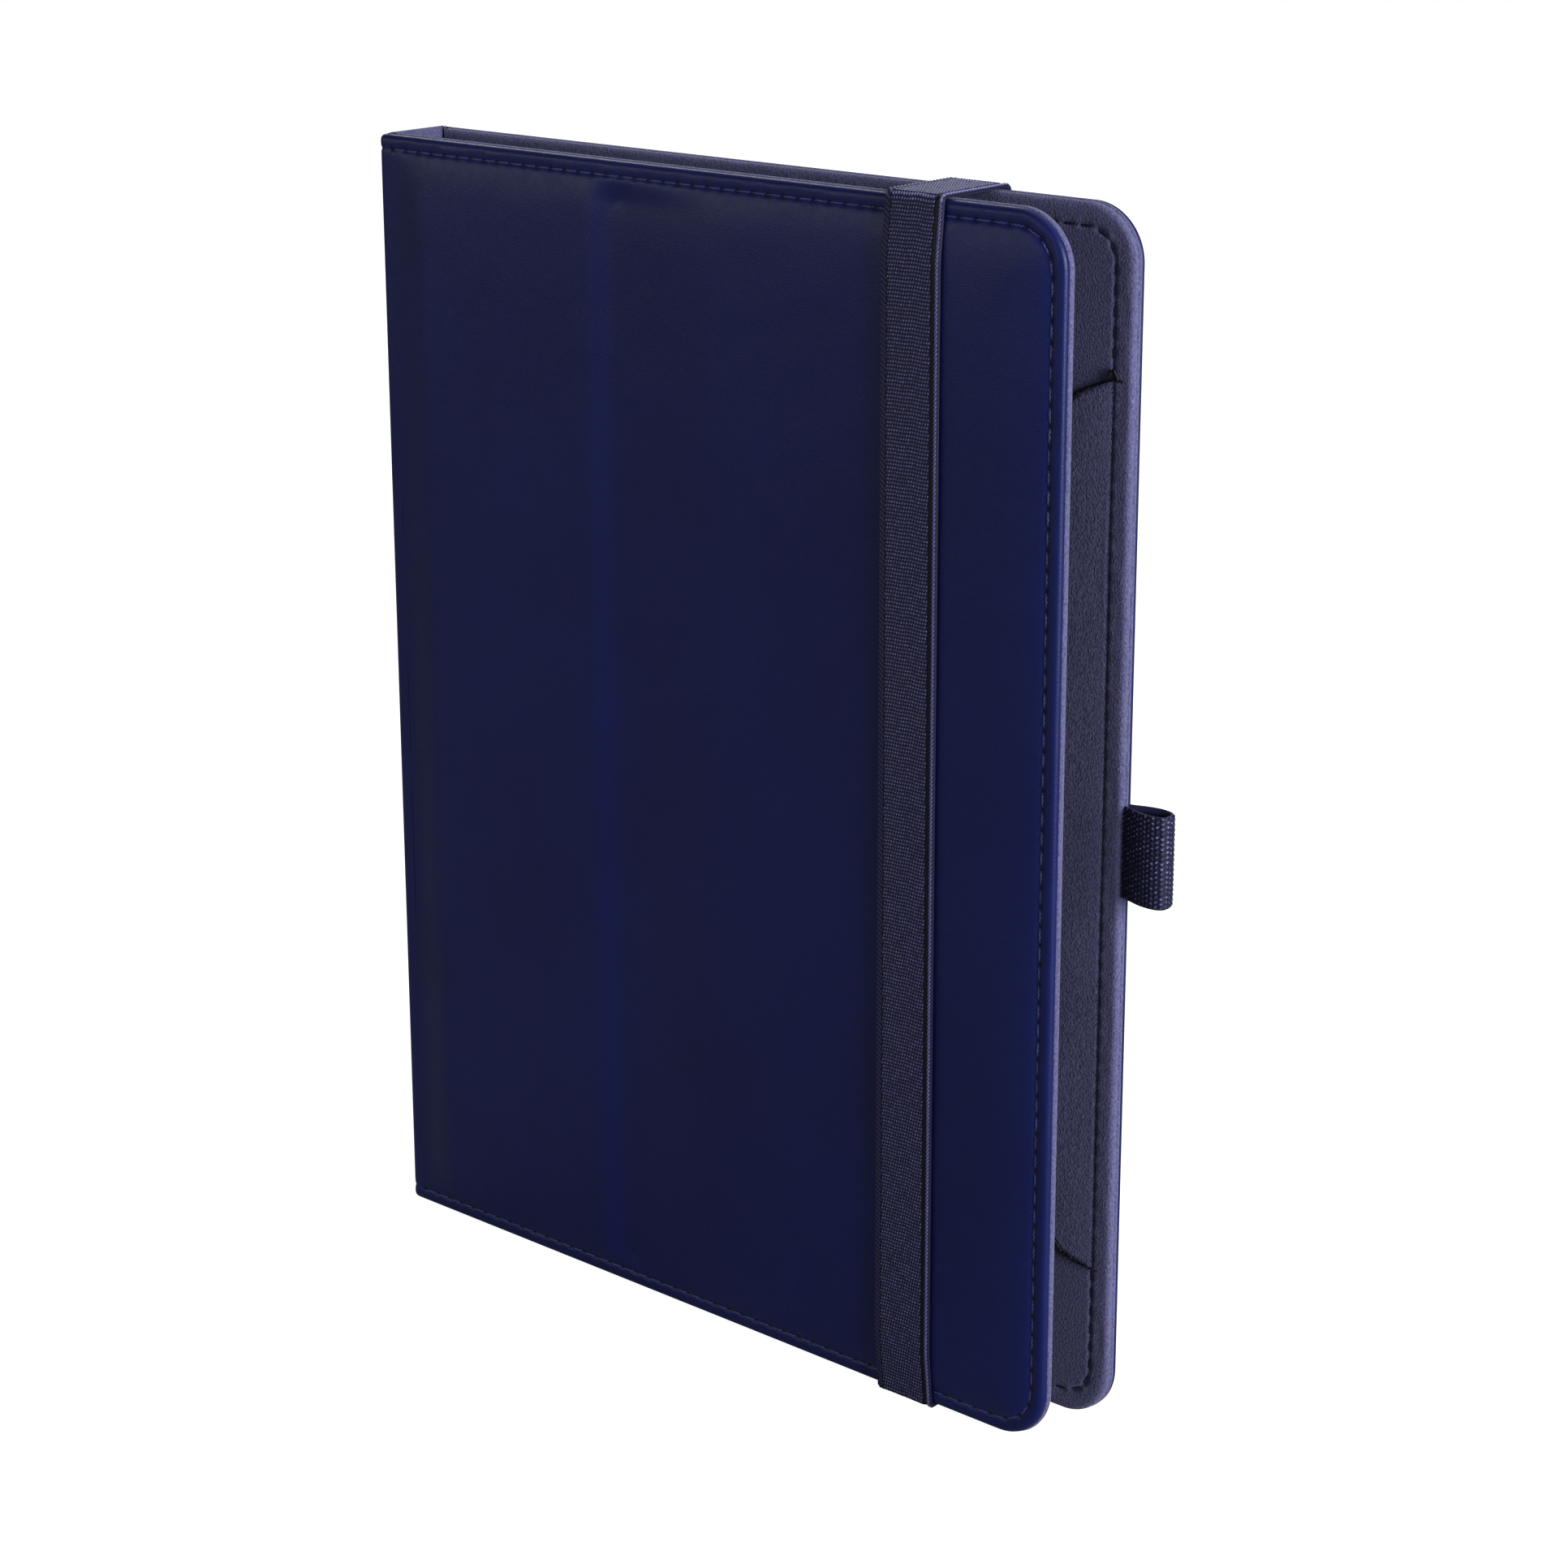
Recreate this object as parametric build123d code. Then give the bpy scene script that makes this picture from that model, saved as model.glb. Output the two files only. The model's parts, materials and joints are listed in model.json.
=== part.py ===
from build123d import *
import os

# Tablet keyboard case, closed and standing on its short edge.
# Working frame while modelling, in mm: x = 0 at the outer face of the spine, y = 0 at the outer
# face of the rear cover, -Y towards the front cover, z = 0 at the lower edge of the covers.
# Every part is moved to the shared frame when it is exported.

# ---- driving dimensions ----
CASE_HEIGHT = 265.0
CASE_DEPTH = 21.0
REAR_WIDTH = 199.8
FRONT_WIDTH = 195.0
CORNER_RADIUS = 12.0

SKIN = 0.9
REAR_BOARD = 2.2
REAR_LINING = 0.9
FRONT_BOARD = 1.8
FRONT_LINING = 0.8
TURNED_EDGE = 1.2
EDGE_SOFTNESS = 0.4

PANEL_START = 4.5
SPINE_END_GAP = 2.5
FOLD_OUTER_RADIUS = 2.0
CREASE_START = 66.6
CREASE_END = 74.0
CREASE_DEPTH = 0.7

STRAP_X0 = 150.5
STRAP_WIDTH = 15.0
STRAP_THICKNESS = 1.1
STRAP_SINK = 0.2
STRAP_SIDE_ROOM = 0.2
STRAP_SLOT_FROM_EDGE = 9.0
STRAP_TAB = 1.8

PEN_LOOP_Z0 = 121.0
PEN_LOOP_WEBBING = 20.0
PEN_LOOP_REACH = 11.3
PEN_LOOP_DEPTH = 6.4
PEN_LOOP_THICKNESS = 1.0
PEN_LOOP_TAB = 8.0

FLAP_THICKNESS = 0.8
FLAP_OUTER_X = 195.6
FLAP_INNER_X = 183.0

RAIL_X = (40.0, 50.0)
RAIL_WIDTH = 4.0
RAIL_HEIGHT = 3.6
RAIL_END_GAP = 40.0

KEYBOARD_X0 = 57.0
KEYBOARD_X1 = 181.0
KEYBOARD_Z0 = 12.0
KEYBOARD_Z1 = 253.0
KEYBOARD_CORNER = 5.0
TAPE = 0.4
BASE_FLOOR = 0.7
BASE_WALL = 1.5
BASE_DEPTH = 3.4
FRAME = 0.7
PLATE = 0.5
FILM = 0.3
DOME = 1.0
DOME_RADIUS = 2.5

KEY_PITCH = 16.6
KEY_GAP = 2.0
KEY_FLANGE = 0.6
KEY_FLANGE_DEPTH = 0.6
KEY_DEPTH = 2.1
KEY_CORNER = 1.2
KEY_CLEARANCE = 0.35
KEY_RISE = 0.1
KEYS_X0 = 76.0
FUNCTION_ROW_DEPTH = 11.0
KEY_UNITS = 14

BAND_THICKNESS = 0.6
BAND_WIDTH = 14.0
BAND_FROM_CORNER = 22.0
BAND_FRONT_Y = -9.5
TABLET_Z_GAP = 10.2
TABLET_X1 = 186.6
CLIP_X0 = 78.0
CLIP_WIDTH = 14.0
CLIP_THICKNESS = 1.2
CLIP_LIP = 5.0

# ---- levels that follow from the dimensions above ----
REAR_INNER_Y = -(SKIN + REAR_BOARD + REAR_LINING)
REAR_BOARD_INNER_Y = -(SKIN + REAR_BOARD)
FRONT_Y = -CASE_DEPTH
FRONT_BOARD_Y = FRONT_Y + SKIN
FRONT_LINING_Y = FRONT_BOARD_Y + FRONT_BOARD
FRONT_INNER_Y = FRONT_LINING_Y + FRONT_LINING
STRAP_X1 = STRAP_X0 + STRAP_WIDTH
STRAP_TOP_Z = CASE_HEIGHT - STRAP_SINK
BASE_Y = REAR_INNER_Y - TAPE
FLOOR_Y = BASE_Y - BASE_FLOOR
FRAME_Y = BASE_Y - BASE_DEPTH
FRAME_TOP_Y = FRAME_Y - FRAME
FILM_Y = FLOOR_Y - PLATE
DOME_Y = FILM_Y - FILM
KEY_Y = DOME_Y - DOME - KEY_RISE
KEYS_Z0 = (KEYBOARD_Z0 + KEYBOARD_Z1 - KEY_UNITS * KEY_PITCH) / 2
KEYS_X1 = KEYS_X0 + FUNCTION_ROW_DEPTH + 5 * KEY_PITCH
SPINE_Y0 = FRONT_Y + SPINE_END_GAP

# key widths of each row in key units, listed from the lower end of the standing case
ROW_KEYS = {
    "keys_function_row": [1.0] * 14,
    "keys_number_row": [1.0] * 12 + [2.0],
    "keys_upper_row": [1.5] + [1.0] * 11 + [1.5],
    "keys_home_row": [1.75] + [1.0] * 10 + [2.25],
    "keys_lower_row": [2.25] + [1.0] * 9 + [2.75],
    "keys_bottom_row": [1.25, 1.0, 1.0, 1.0, None, 1.0, 1.0, 1.0, 1.0, 1.25],
}
SPACE_BAR_UNITS = 4.5

SCREW_PLACES = [(175.5, 22.0), (175.5, 132.5), (175.5, 243.0), (66.0, 22.0), (66.0, 155.0), (73.0, 245.0)]
SCREW_RADIUS = 0.75
SCREW_HEAD_RADIUS = 1.5
SCREW_HEAD = 0.4
SCREW_BITE = 0.4
BOSS_RADIUS = 2.0

LAMP_Z = (92.0, 98.0, 104.0)
LAMP_X = 64.0
LAMP_RADIUS = 0.8
SWITCH_Z = 34.0
SWITCH_X = 64.0
SWITCH_SLOT = (3.0, 9.0)
SWITCH_KNOB = (2.4, 5.0)
SWITCH_FLANGE = 0.8
BUTTON_Z = 78.0
BUTTON_X = 64.0
BUTTON_RADIUS = 2.4
BUTTON_TRAVEL_ROOM = 0.9

# ---- move from the working frame to the shared frame ----
OUTER_X = REAR_WIDTH + PEN_LOOP_REACH
MIDDLE_Y = (-(CASE_DEPTH + STRAP_THICKNESS) + STRAP_THICKNESS) / 2
LOWEST_Z = -(STRAP_THICKNESS - STRAP_SINK)
TO_SHARED_FRAME = Pos(-OUTER_X / 2, -MIDDLE_Y, -LOWEST_Z)


# ---- helpers ----
def slab(x0, x1, y0, y1, z0, z1):
    """Box between two corners."""
    return Pos(x0, y0, z0) * Box(x1 - x0, y1 - y0, z1 - z0, align=(Align.MIN, Align.MIN, Align.MIN))


def pad(x0, x1, z0, z1, y_back, y_front, radius):
    """Plate facing the front with four rounded corners."""
    outline = RectangleRounded(x1 - x0, z1 - z0, radius)
    return Pos((x0 + x1) / 2, y_back, (z0 + z1) / 2) * (Rot(90, 0, 0) * extrude(outline, y_back - y_front))


def disc(x, z, y_back, y_front, radius):
    """Round plate or pin facing the front."""
    return Pos(x, y_back, z) * (Rot(90, 0, 0) * extrude(Circle(radius), y_back - y_front))


def prism(points, z0, z1):
    """Outline in the horizontal plane, raised from z0 to z1."""
    return Pos(0, 0, z0) * extrude(make_face(Polyline(*points, close=True)), z1 - z0)


def front_prism(points, y_back, y_front):
    """Outline of (x, z) points, raised towards the front."""
    flat = make_face(Polyline(*points, close=True))
    return Pos(0, y_back, 0) * (Rot(90, 0, 0) * extrude(flat, y_back - y_front))


def cover_plate(x0, x1, y0, y1, inset, radius):
    """Cover-sized plate, rounded at the two corners of its free edge."""
    plate = slab(x0, x1 - inset, y0, y1, inset, CASE_HEIGHT - inset)
    return fillet(plate.edges().filter_by(Axis.Y).sort_by(Axis.X)[-2:], radius - inset)


def strap_notches(y0, y1):
    """Shallow seats where the strap presses into the upper and lower edges."""
    x0, x1 = STRAP_X0 - STRAP_SIDE_ROOM, STRAP_X1 + STRAP_SIDE_ROOM
    return [slab(x0, x1, y0, y1, -1, STRAP_SINK), slab(x0, x1, y0, y1, STRAP_TOP_Z, CASE_HEIGHT + 1)]


def soften(shape, y):
    """Round the rim of a cover layer on the face at the given y."""
    rim = shape.faces().filter_by(Axis.Y).sort_by(lambda face: abs(face.center().Y - y))[0]
    return fillet(rim.outer_wire().edges().filter_by(lambda edge: edge.center().X > PANEL_START + 1), EDGE_SOFTNESS)


# ---- rear cover ----
def rear_skin():
    """Outer skin turned over the three free edges of the rear board."""
    tray = soften(cover_plate(PANEL_START, REAR_WIDTH, REAR_BOARD_INNER_Y, 0, 0, CORNER_RADIUS), 0)
    tray -= cover_plate(PANEL_START - 1, REAR_WIDTH, REAR_BOARD_INNER_Y - 1, -SKIN, TURNED_EDGE, CORNER_RADIUS)
    tray -= strap_notches(REAR_BOARD_INNER_Y - 1, 1)
    tray -= strap_slots(-SKIN, 1)
    tray -= pen_loop_tab()
    return tray


def strap_slots(y0, y1):
    """Cuts for the two sewn-in ends of the strap."""
    x0, x1 = STRAP_X0 - STRAP_SIDE_ROOM, STRAP_X1 + STRAP_SIDE_ROOM
    room = STRAP_SIDE_ROOM
    low = STRAP_SLOT_FROM_EDGE
    high = CASE_HEIGHT - STRAP_SLOT_FROM_EDGE
    return [
        slab(x0, x1, y0, y1, low - room, low + STRAP_THICKNESS + room),
        slab(x0, x1, y0, y1, high - STRAP_THICKNESS - room, high + room),
    ]


def rear_board():
    board = cover_plate(PANEL_START, REAR_WIDTH, REAR_BOARD_INNER_Y, -SKIN, TURNED_EDGE, CORNER_RADIUS)
    board -= strap_slots(-STRAP_TAB - STRAP_SIDE_ROOM, 0)
    return board - pen_loop_tab()


def rear_lining():
    lining = cover_plate(PANEL_START, REAR_WIDTH, REAR_INNER_Y, REAR_BOARD_INNER_Y, 0, CORNER_RADIUS)
    lining = soften(lining, REAR_INNER_Y)
    return lining - strap_notches(REAR_INNER_Y - 1, 0)


def keyboard_flap():
    """Sewn-down flap with chamfered ends beside the keyboard."""
    low, high = 35.5, CASE_HEIGHT - 35.5
    points = [
        (FLAP_OUTER_X, low), (187.0, low + 2.0), (FLAP_INNER_X, low + 6.0),
        (FLAP_INNER_X, high - 6.0), (187.0, high - 2.5), (FLAP_OUTER_X, high),
    ]
    return front_prism(points, REAR_INNER_Y, REAR_INNER_Y - FLAP_THICKNESS)


def stand_rails():
    """Two lined ridges that catch the lower edge of the tablet."""
    rails = []
    for x in RAIL_X:
        rail = slab(x, x + RAIL_WIDTH, REAR_INNER_Y - RAIL_HEIGHT, REAR_INNER_Y, RAIL_END_GAP,
                    CASE_HEIGHT - RAIL_END_GAP)
        crest = rail.edges().filter_by(Axis.Z).sort_by(Axis.Y)[:2]
        rails.append(fillet(crest, RAIL_WIDTH * 0.4))
    return Compound(children=rails)


def pen_loop_tab():
    x1 = REAR_WIDTH
    y0 = REAR_BOARD_INNER_Y
    return slab(x1 - PEN_LOOP_TAB, x1, y0, y0 + 2 * PEN_LOOP_THICKNESS, PEN_LOOP_Z0, PEN_LOOP_Z0 + PEN_LOOP_WEBBING)


def pen_loop():
    """Webbing loop out of the free edge, its doubled tail held under the lining."""
    outer = RectangleRounded(PEN_LOOP_REACH, PEN_LOOP_DEPTH, PEN_LOOP_DEPTH * 0.45)
    wall = 2 * PEN_LOOP_THICKNESS
    inner = RectangleRounded(PEN_LOOP_REACH - wall, PEN_LOOP_DEPTH - wall, (PEN_LOOP_DEPTH - wall) * 0.45)
    centre_y = REAR_BOARD_INNER_Y + PEN_LOOP_THICKNESS
    loop = Pos(REAR_WIDTH + PEN_LOOP_REACH / 2, centre_y, PEN_LOOP_Z0) * extrude(outer - inner, PEN_LOOP_WEBBING)
    return loop + pen_loop_tab()


# ---- strap ----
def strap_piece(y0, y1, z0, z1):
    return slab(STRAP_X0, STRAP_X1, y0, y1, z0, z1)


def strap_back_ends():
    """Short runs down the back that turn into the slots."""
    low = STRAP_SLOT_FROM_EDGE
    high = CASE_HEIGHT - STRAP_SLOT_FROM_EDGE
    lower = strap_piece(0, STRAP_THICKNESS, STRAP_SINK, low + STRAP_THICKNESS)
    lower += strap_piece(-STRAP_TAB, 0, low, low + STRAP_THICKNESS)
    upper = strap_piece(0, STRAP_THICKNESS, high - STRAP_THICKNESS, STRAP_TOP_Z)
    upper += strap_piece(-STRAP_TAB, 0, high - STRAP_THICKNESS, high)
    return Compound(children=[lower, upper])


def strap_return(z0, z1, outward):
    """Run across the edge of both covers, from the back face to the front face."""
    run = strap_piece(FRONT_Y - STRAP_THICKNESS, STRAP_THICKNESS, z0, z1)
    edges = run.edges().filter_by(Axis.X).sort_by(Axis.Z)
    return fillet(edges[-2:] if outward > 0 else edges[:2], STRAP_THICKNESS * 0.8)


def strap_front_run():
    return strap_piece(FRONT_Y - STRAP_THICKNESS, FRONT_Y, STRAP_SINK, STRAP_TOP_Z)


# ---- folds ----
def fold_skin(mirrored):
    """Skin round one outer corner of the spine; mirrored about mid depth for the front corner."""
    outer = slab(0, PANEL_START, -SPINE_END_GAP, 0, 0, CASE_HEIGHT)
    outer = fillet(outer.edges().filter_by(Axis.Z).sort_by(lambda e: e.center().X - e.center().Y)[:1],
                   FOLD_OUTER_RADIUS)
    inner = slab(SKIN, PANEL_START + 1, -SPINE_END_GAP - 1, -SKIN, -1, CASE_HEIGHT + 1)
    inner = fillet(inner.edges().filter_by(Axis.Z).sort_by(lambda e: e.center().X - e.center().Y)[:1],
                   FOLD_OUTER_RADIUS - SKIN)
    strip = outer - inner
    return Pos(0, FRONT_Y, 0) * strip.mirror(Plane.XZ) if mirrored else strip


def fold_lining(y0, y1):
    """Narrow lining strip in the inner corner between spine and cover."""
    return slab(SKIN + FRONT_BOARD + FRONT_LINING, PANEL_START, y0, y1, 0, CASE_HEIGHT)


def crease_skin():
    """Skin dipped into a shallow groove between the two front boards."""
    half = (CREASE_END - CREASE_START) / 2
    middle = (CREASE_START + CREASE_END) / 2
    steps = [-1.0, -0.6, -0.25, 0.0, 0.25, 0.6, 1.0]
    outer = [(middle + half * s, FRONT_Y + CREASE_DEPTH * (1 - s * s)) for s in steps]
    inner = [(x, y + SKIN) for x, y in reversed(outer)]
    return prism(outer + inner, 0, CASE_HEIGHT)


def crease_lining():
    return slab(CREASE_START, CREASE_END, FRONT_LINING_Y, FRONT_INNER_Y, 0, CASE_HEIGHT)


# ---- spine ----
def spine_layer(x0, x1, end_inset):
    return slab(x0, x1, SPINE_Y0, -SPINE_END_GAP, end_inset, CASE_HEIGHT - end_inset)


def spine_skin():
    """Spine skin turned over its upper and lower ends."""
    skin = spine_layer(0, SKIN + FRONT_BOARD, 0)
    return skin - spine_layer(SKIN, SKIN + FRONT_BOARD, TURNED_EDGE)


# ---- front cover ----
def front_inner_skin():
    skin = slab(PANEL_START, CREASE_START, FRONT_Y, FRONT_LINING_Y, 0, CASE_HEIGHT)
    return skin - slab(PANEL_START, CREASE_START, FRONT_BOARD_Y, FRONT_LINING_Y, TURNED_EDGE,
                       CASE_HEIGHT - TURNED_EDGE)


def front_outer_skin():
    tray = soften(cover_plate(CREASE_END, FRONT_WIDTH, FRONT_Y, FRONT_LINING_Y, 0, CORNER_RADIUS), FRONT_Y)
    tray -= cover_plate(CREASE_END - 1, FRONT_WIDTH, FRONT_BOARD_Y, FRONT_LINING_Y + 1, TURNED_EDGE, CORNER_RADIUS)
    return tray - strap_notches(FRONT_Y - 1, FRONT_INNER_Y)


def front_outer_board():
    return cover_plate(CREASE_END, FRONT_WIDTH, FRONT_BOARD_Y, FRONT_LINING_Y, TURNED_EDGE, CORNER_RADIUS)


def front_outer_lining():
    lining = cover_plate(CREASE_END, FRONT_WIDTH, FRONT_LINING_Y, FRONT_INNER_Y, 0, CORNER_RADIUS)
    return soften(lining, FRONT_INNER_Y) - strap_notches(FRONT_Y, FRONT_INNER_Y + 1)


def corner_band():
    """Elastic band across the upper outer corner of the tablet, with a leg down each side."""
    x1 = TABLET_X1 + BAND_THICKNESS
    z1 = CASE_HEIGHT - TABLET_Z_GAP + BAND_THICKNESS
    near, far = BAND_FROM_CORNER, BAND_FROM_CORNER + BAND_WIDTH
    back = BAND_FRONT_Y
    band = front_prism([(x1, z1 - near), (x1, z1 - far), (x1 - far, z1), (x1 - near, z1)], back,
                       back - BAND_THICKNESS)
    band += slab(TABLET_X1, x1, FRONT_INNER_Y, back, z1 - far, z1 - near)
    band += slab(x1 - far, x1 - near, FRONT_INNER_Y, back, z1 - BAND_THICKNESS, z1)
    return band


def mirrored_pair(shape):
    """The shape and its mirror image in the middle of the case height."""
    middle = Plane.XY.offset(CASE_HEIGHT / 2)
    return Compound(children=[shape, shape.mirror(middle)])


def edge_clip():
    """Lined hook over the short side of the tablet, next to the crease."""
    z0 = CASE_HEIGHT - TABLET_Z_GAP
    back = BAND_FRONT_Y
    clip = slab(CLIP_X0, CLIP_X0 + CLIP_WIDTH, FRONT_INNER_Y, back, z0, z0 + CLIP_THICKNESS)
    return clip + slab(CLIP_X0, CLIP_X0 + CLIP_WIDTH, back - BAND_THICKNESS, back, z0 - CLIP_LIP, z0)


# ---- keyboard ----
def key_rows():
    """Row name -> list of (x0, x1, z0, z1) key cells, with the space bar as a row of its own."""
    rows = {}
    x = KEYS_X0
    for index, (name, widths) in enumerate(ROW_KEYS.items()):
        depth = FUNCTION_ROW_DEPTH if index == 0 else KEY_PITCH
        z = KEYS_Z0
        cells = []
        for width in widths:
            units = SPACE_BAR_UNITS if width is None else width
            cell = (x, x + depth, z, z + units * KEY_PITCH)
            z += units * KEY_PITCH
            if width is None:
                rows["space_bar"] = [cell]
            else:
                cells.append(cell)
        rows[name] = cells
        x += depth
    return rows


def key_pad(cell, grow, y_back, y_front):
    x0, x1, z0, z1 = cell
    trim = KEY_GAP / 2 - grow
    return pad(x0 + trim, x1 - trim, z0 + trim, z1 - trim, y_back, y_front, KEY_CORNER)


def key(cell):
    """Key cap with the lip that keeps it under the frame."""
    cap = key_pad(cell, 0, KEY_Y, KEY_Y - KEY_DEPTH)
    return cap + key_pad(cell, KEY_FLANGE, KEY_Y, KEY_Y - KEY_FLANGE_DEPTH)


def key_domes(rows):
    """One rubber dome under every key."""
    domes = []
    for cells in rows.values():
        for x0, x1, z0, z1 in cells:
            dome = Rot(90, 0, 0) * Cone(DOME_RADIUS, DOME_RADIUS * 0.6, DOME, align=(Align.CENTER, Align.CENTER, Align.MIN))
            domes.append(Pos((x0 + x1) / 2, DOME_Y, (z0 + z1) / 2) * dome)
    return Compound(children=domes)


def key_field(y_back, y_front):
    """Sheet under all the keys."""
    return slab(KEYS_X0, KEYS_X1, y_front, y_back, KEYS_Z0 - KEY_FLANGE, KEYS_Z0 + KEY_UNITS * KEY_PITCH + KEY_FLANGE)


def keyboard_base():
    base = pad(KEYBOARD_X0, KEYBOARD_X1, KEYBOARD_Z0, KEYBOARD_Z1, BASE_Y, FRAME_Y, KEYBOARD_CORNER)
    wall = BASE_WALL
    base -= pad(KEYBOARD_X0 + wall, KEYBOARD_X1 - wall, KEYBOARD_Z0 + wall, KEYBOARD_Z1 - wall,
                FLOOR_Y, FRAME_Y - 1, KEYBOARD_CORNER - wall)
    base += [disc(x, z, FLOOR_Y, FRAME_Y, BOSS_RADIUS) for x, z in SCREW_PLACES]
    return base - [screw(x, z) for x, z in SCREW_PLACES] - charge_socket_block()


def screw(x, z):
    """Flat-head screw from the back of the base into the frame."""
    shank = disc(x, z, BASE_Y, FRAME_Y - SCREW_BITE, SCREW_RADIUS)
    return shank + disc(x, z, BASE_Y, BASE_Y - SCREW_HEAD, SCREW_HEAD_RADIUS)


def keyboard_screws():
    drive = [disc(x, z, BASE_Y, BASE_Y - SCREW_HEAD / 2, SCREW_RADIUS * 0.7) for x, z in SCREW_PLACES]
    screws = [screw(x, z) - socket for (x, z), socket in zip(SCREW_PLACES, drive)]
    return Compound(children=screws)


def keyboard_frame(rows):
    """Top face with an opening for each key, the lamps, the switch and the button."""
    frame = pad(KEYBOARD_X0, KEYBOARD_X1, KEYBOARD_Z0, KEYBOARD_Z1, FRAME_Y, FRAME_TOP_Y, KEYBOARD_CORNER)
    back, front = FRAME_Y + 1, FRAME_TOP_Y - 1
    openings = [key_pad(cell, KEY_CLEARANCE, back, front) for cells in rows.values() for cell in cells]
    openings += [disc(LAMP_X, z, back, front, LAMP_RADIUS) for z in LAMP_Z]
    openings.append(disc(BUTTON_X, BUTTON_Z, back, front, BUTTON_RADIUS + KEY_CLEARANCE))
    half_x, half_z = SWITCH_SLOT[0] / 2, SWITCH_SLOT[1] / 2
    openings.append(pad(SWITCH_X - half_x, SWITCH_X + half_x, SWITCH_Z - half_z, SWITCH_Z + half_z,
                        back, front, half_x * 0.9))
    openings += [screw(x, z) for x, z in SCREW_PLACES]
    return frame - openings


def circuit_board():
    board = slab(KEYBOARD_X0 + 2.5, KEYS_X0 - 1.0, FLOOR_Y - 0.8, FLOOR_Y, 27.0, 150.0)
    chips = [slab(66.0, 73.0, FLOOR_Y - 1.7, FLOOR_Y - 0.8, z, z + 7.0) for z in (44.0, 112.0)]
    return board + chips


def battery():
    cell = slab(KEYBOARD_X0 + 2.5, KEYS_X0 - 1.0, FLOOR_Y - 2.4, FLOOR_Y, 160.0, 240.0)
    return fillet(cell.edges().filter_by(Axis.Z), 0.8)


def charge_socket_block():
    return slab(62.0, 69.5, FLOOR_Y - 2.4, FLOOR_Y, 247.8, KEYBOARD_Z1)


def charge_socket():
    """Metal shell of the charging socket with its tongue."""
    shell = charge_socket_block() - slab(62.4, 69.1, FLOOR_Y - 2.0, FLOOR_Y - 0.4, 249.0, KEYBOARD_Z1 + 1)
    return shell + slab(63.6, 67.9, FLOOR_Y - 1.4, FLOOR_Y - 0.9, 249.0, KEYBOARD_Z1 - 0.6)


def status_lamps():
    """Light pipes from the circuit board to the top face."""
    return Compound(children=[disc(LAMP_X, z, FLOOR_Y - 0.8, FRAME_TOP_Y, LAMP_RADIUS) for z in LAMP_Z])


def power_switch():
    """Sliding knob with a flange under the frame."""
    half_x, half_z = SWITCH_KNOB[0] / 2, SWITCH_KNOB[1] / 2
    z = SWITCH_Z - (SWITCH_SLOT[1] - SWITCH_KNOB[1]) / 2 + KEY_CLEARANCE
    knob = pad(SWITCH_X - half_x, SWITCH_X + half_x, z - half_z, z + half_z, FRAME_Y + 0.6, FRAME_TOP_Y - 0.5,
               half_x * 0.8)
    grow = SWITCH_FLANGE
    return knob + pad(SWITCH_X - half_x - grow, SWITCH_X + half_x + grow, z - half_z - grow, z + half_z + grow,
                      FRAME_Y + 0.6, FRAME_Y + 0.1, half_x * 0.8)


def pair_button():
    button = disc(BUTTON_X, BUTTON_Z, FRAME_Y + BUTTON_TRAVEL_ROOM - 0.2, FRAME_TOP_Y - 0.4, BUTTON_RADIUS)
    return button + disc(BUTTON_X, BUTTON_Z, FRAME_Y + BUTTON_TRAVEL_ROOM - 0.2, FRAME_Y + 0.1, BUTTON_RADIUS + 0.8)


def fixing_tapes():
    """Two tapes that hold the keyboard on the lining."""
    tapes = [slab(x, x + 20.0, BASE_Y, REAR_INNER_Y, 25.0, 240.0) for x in (75.0, 145.0)]
    return Compound(children=tapes)


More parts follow.
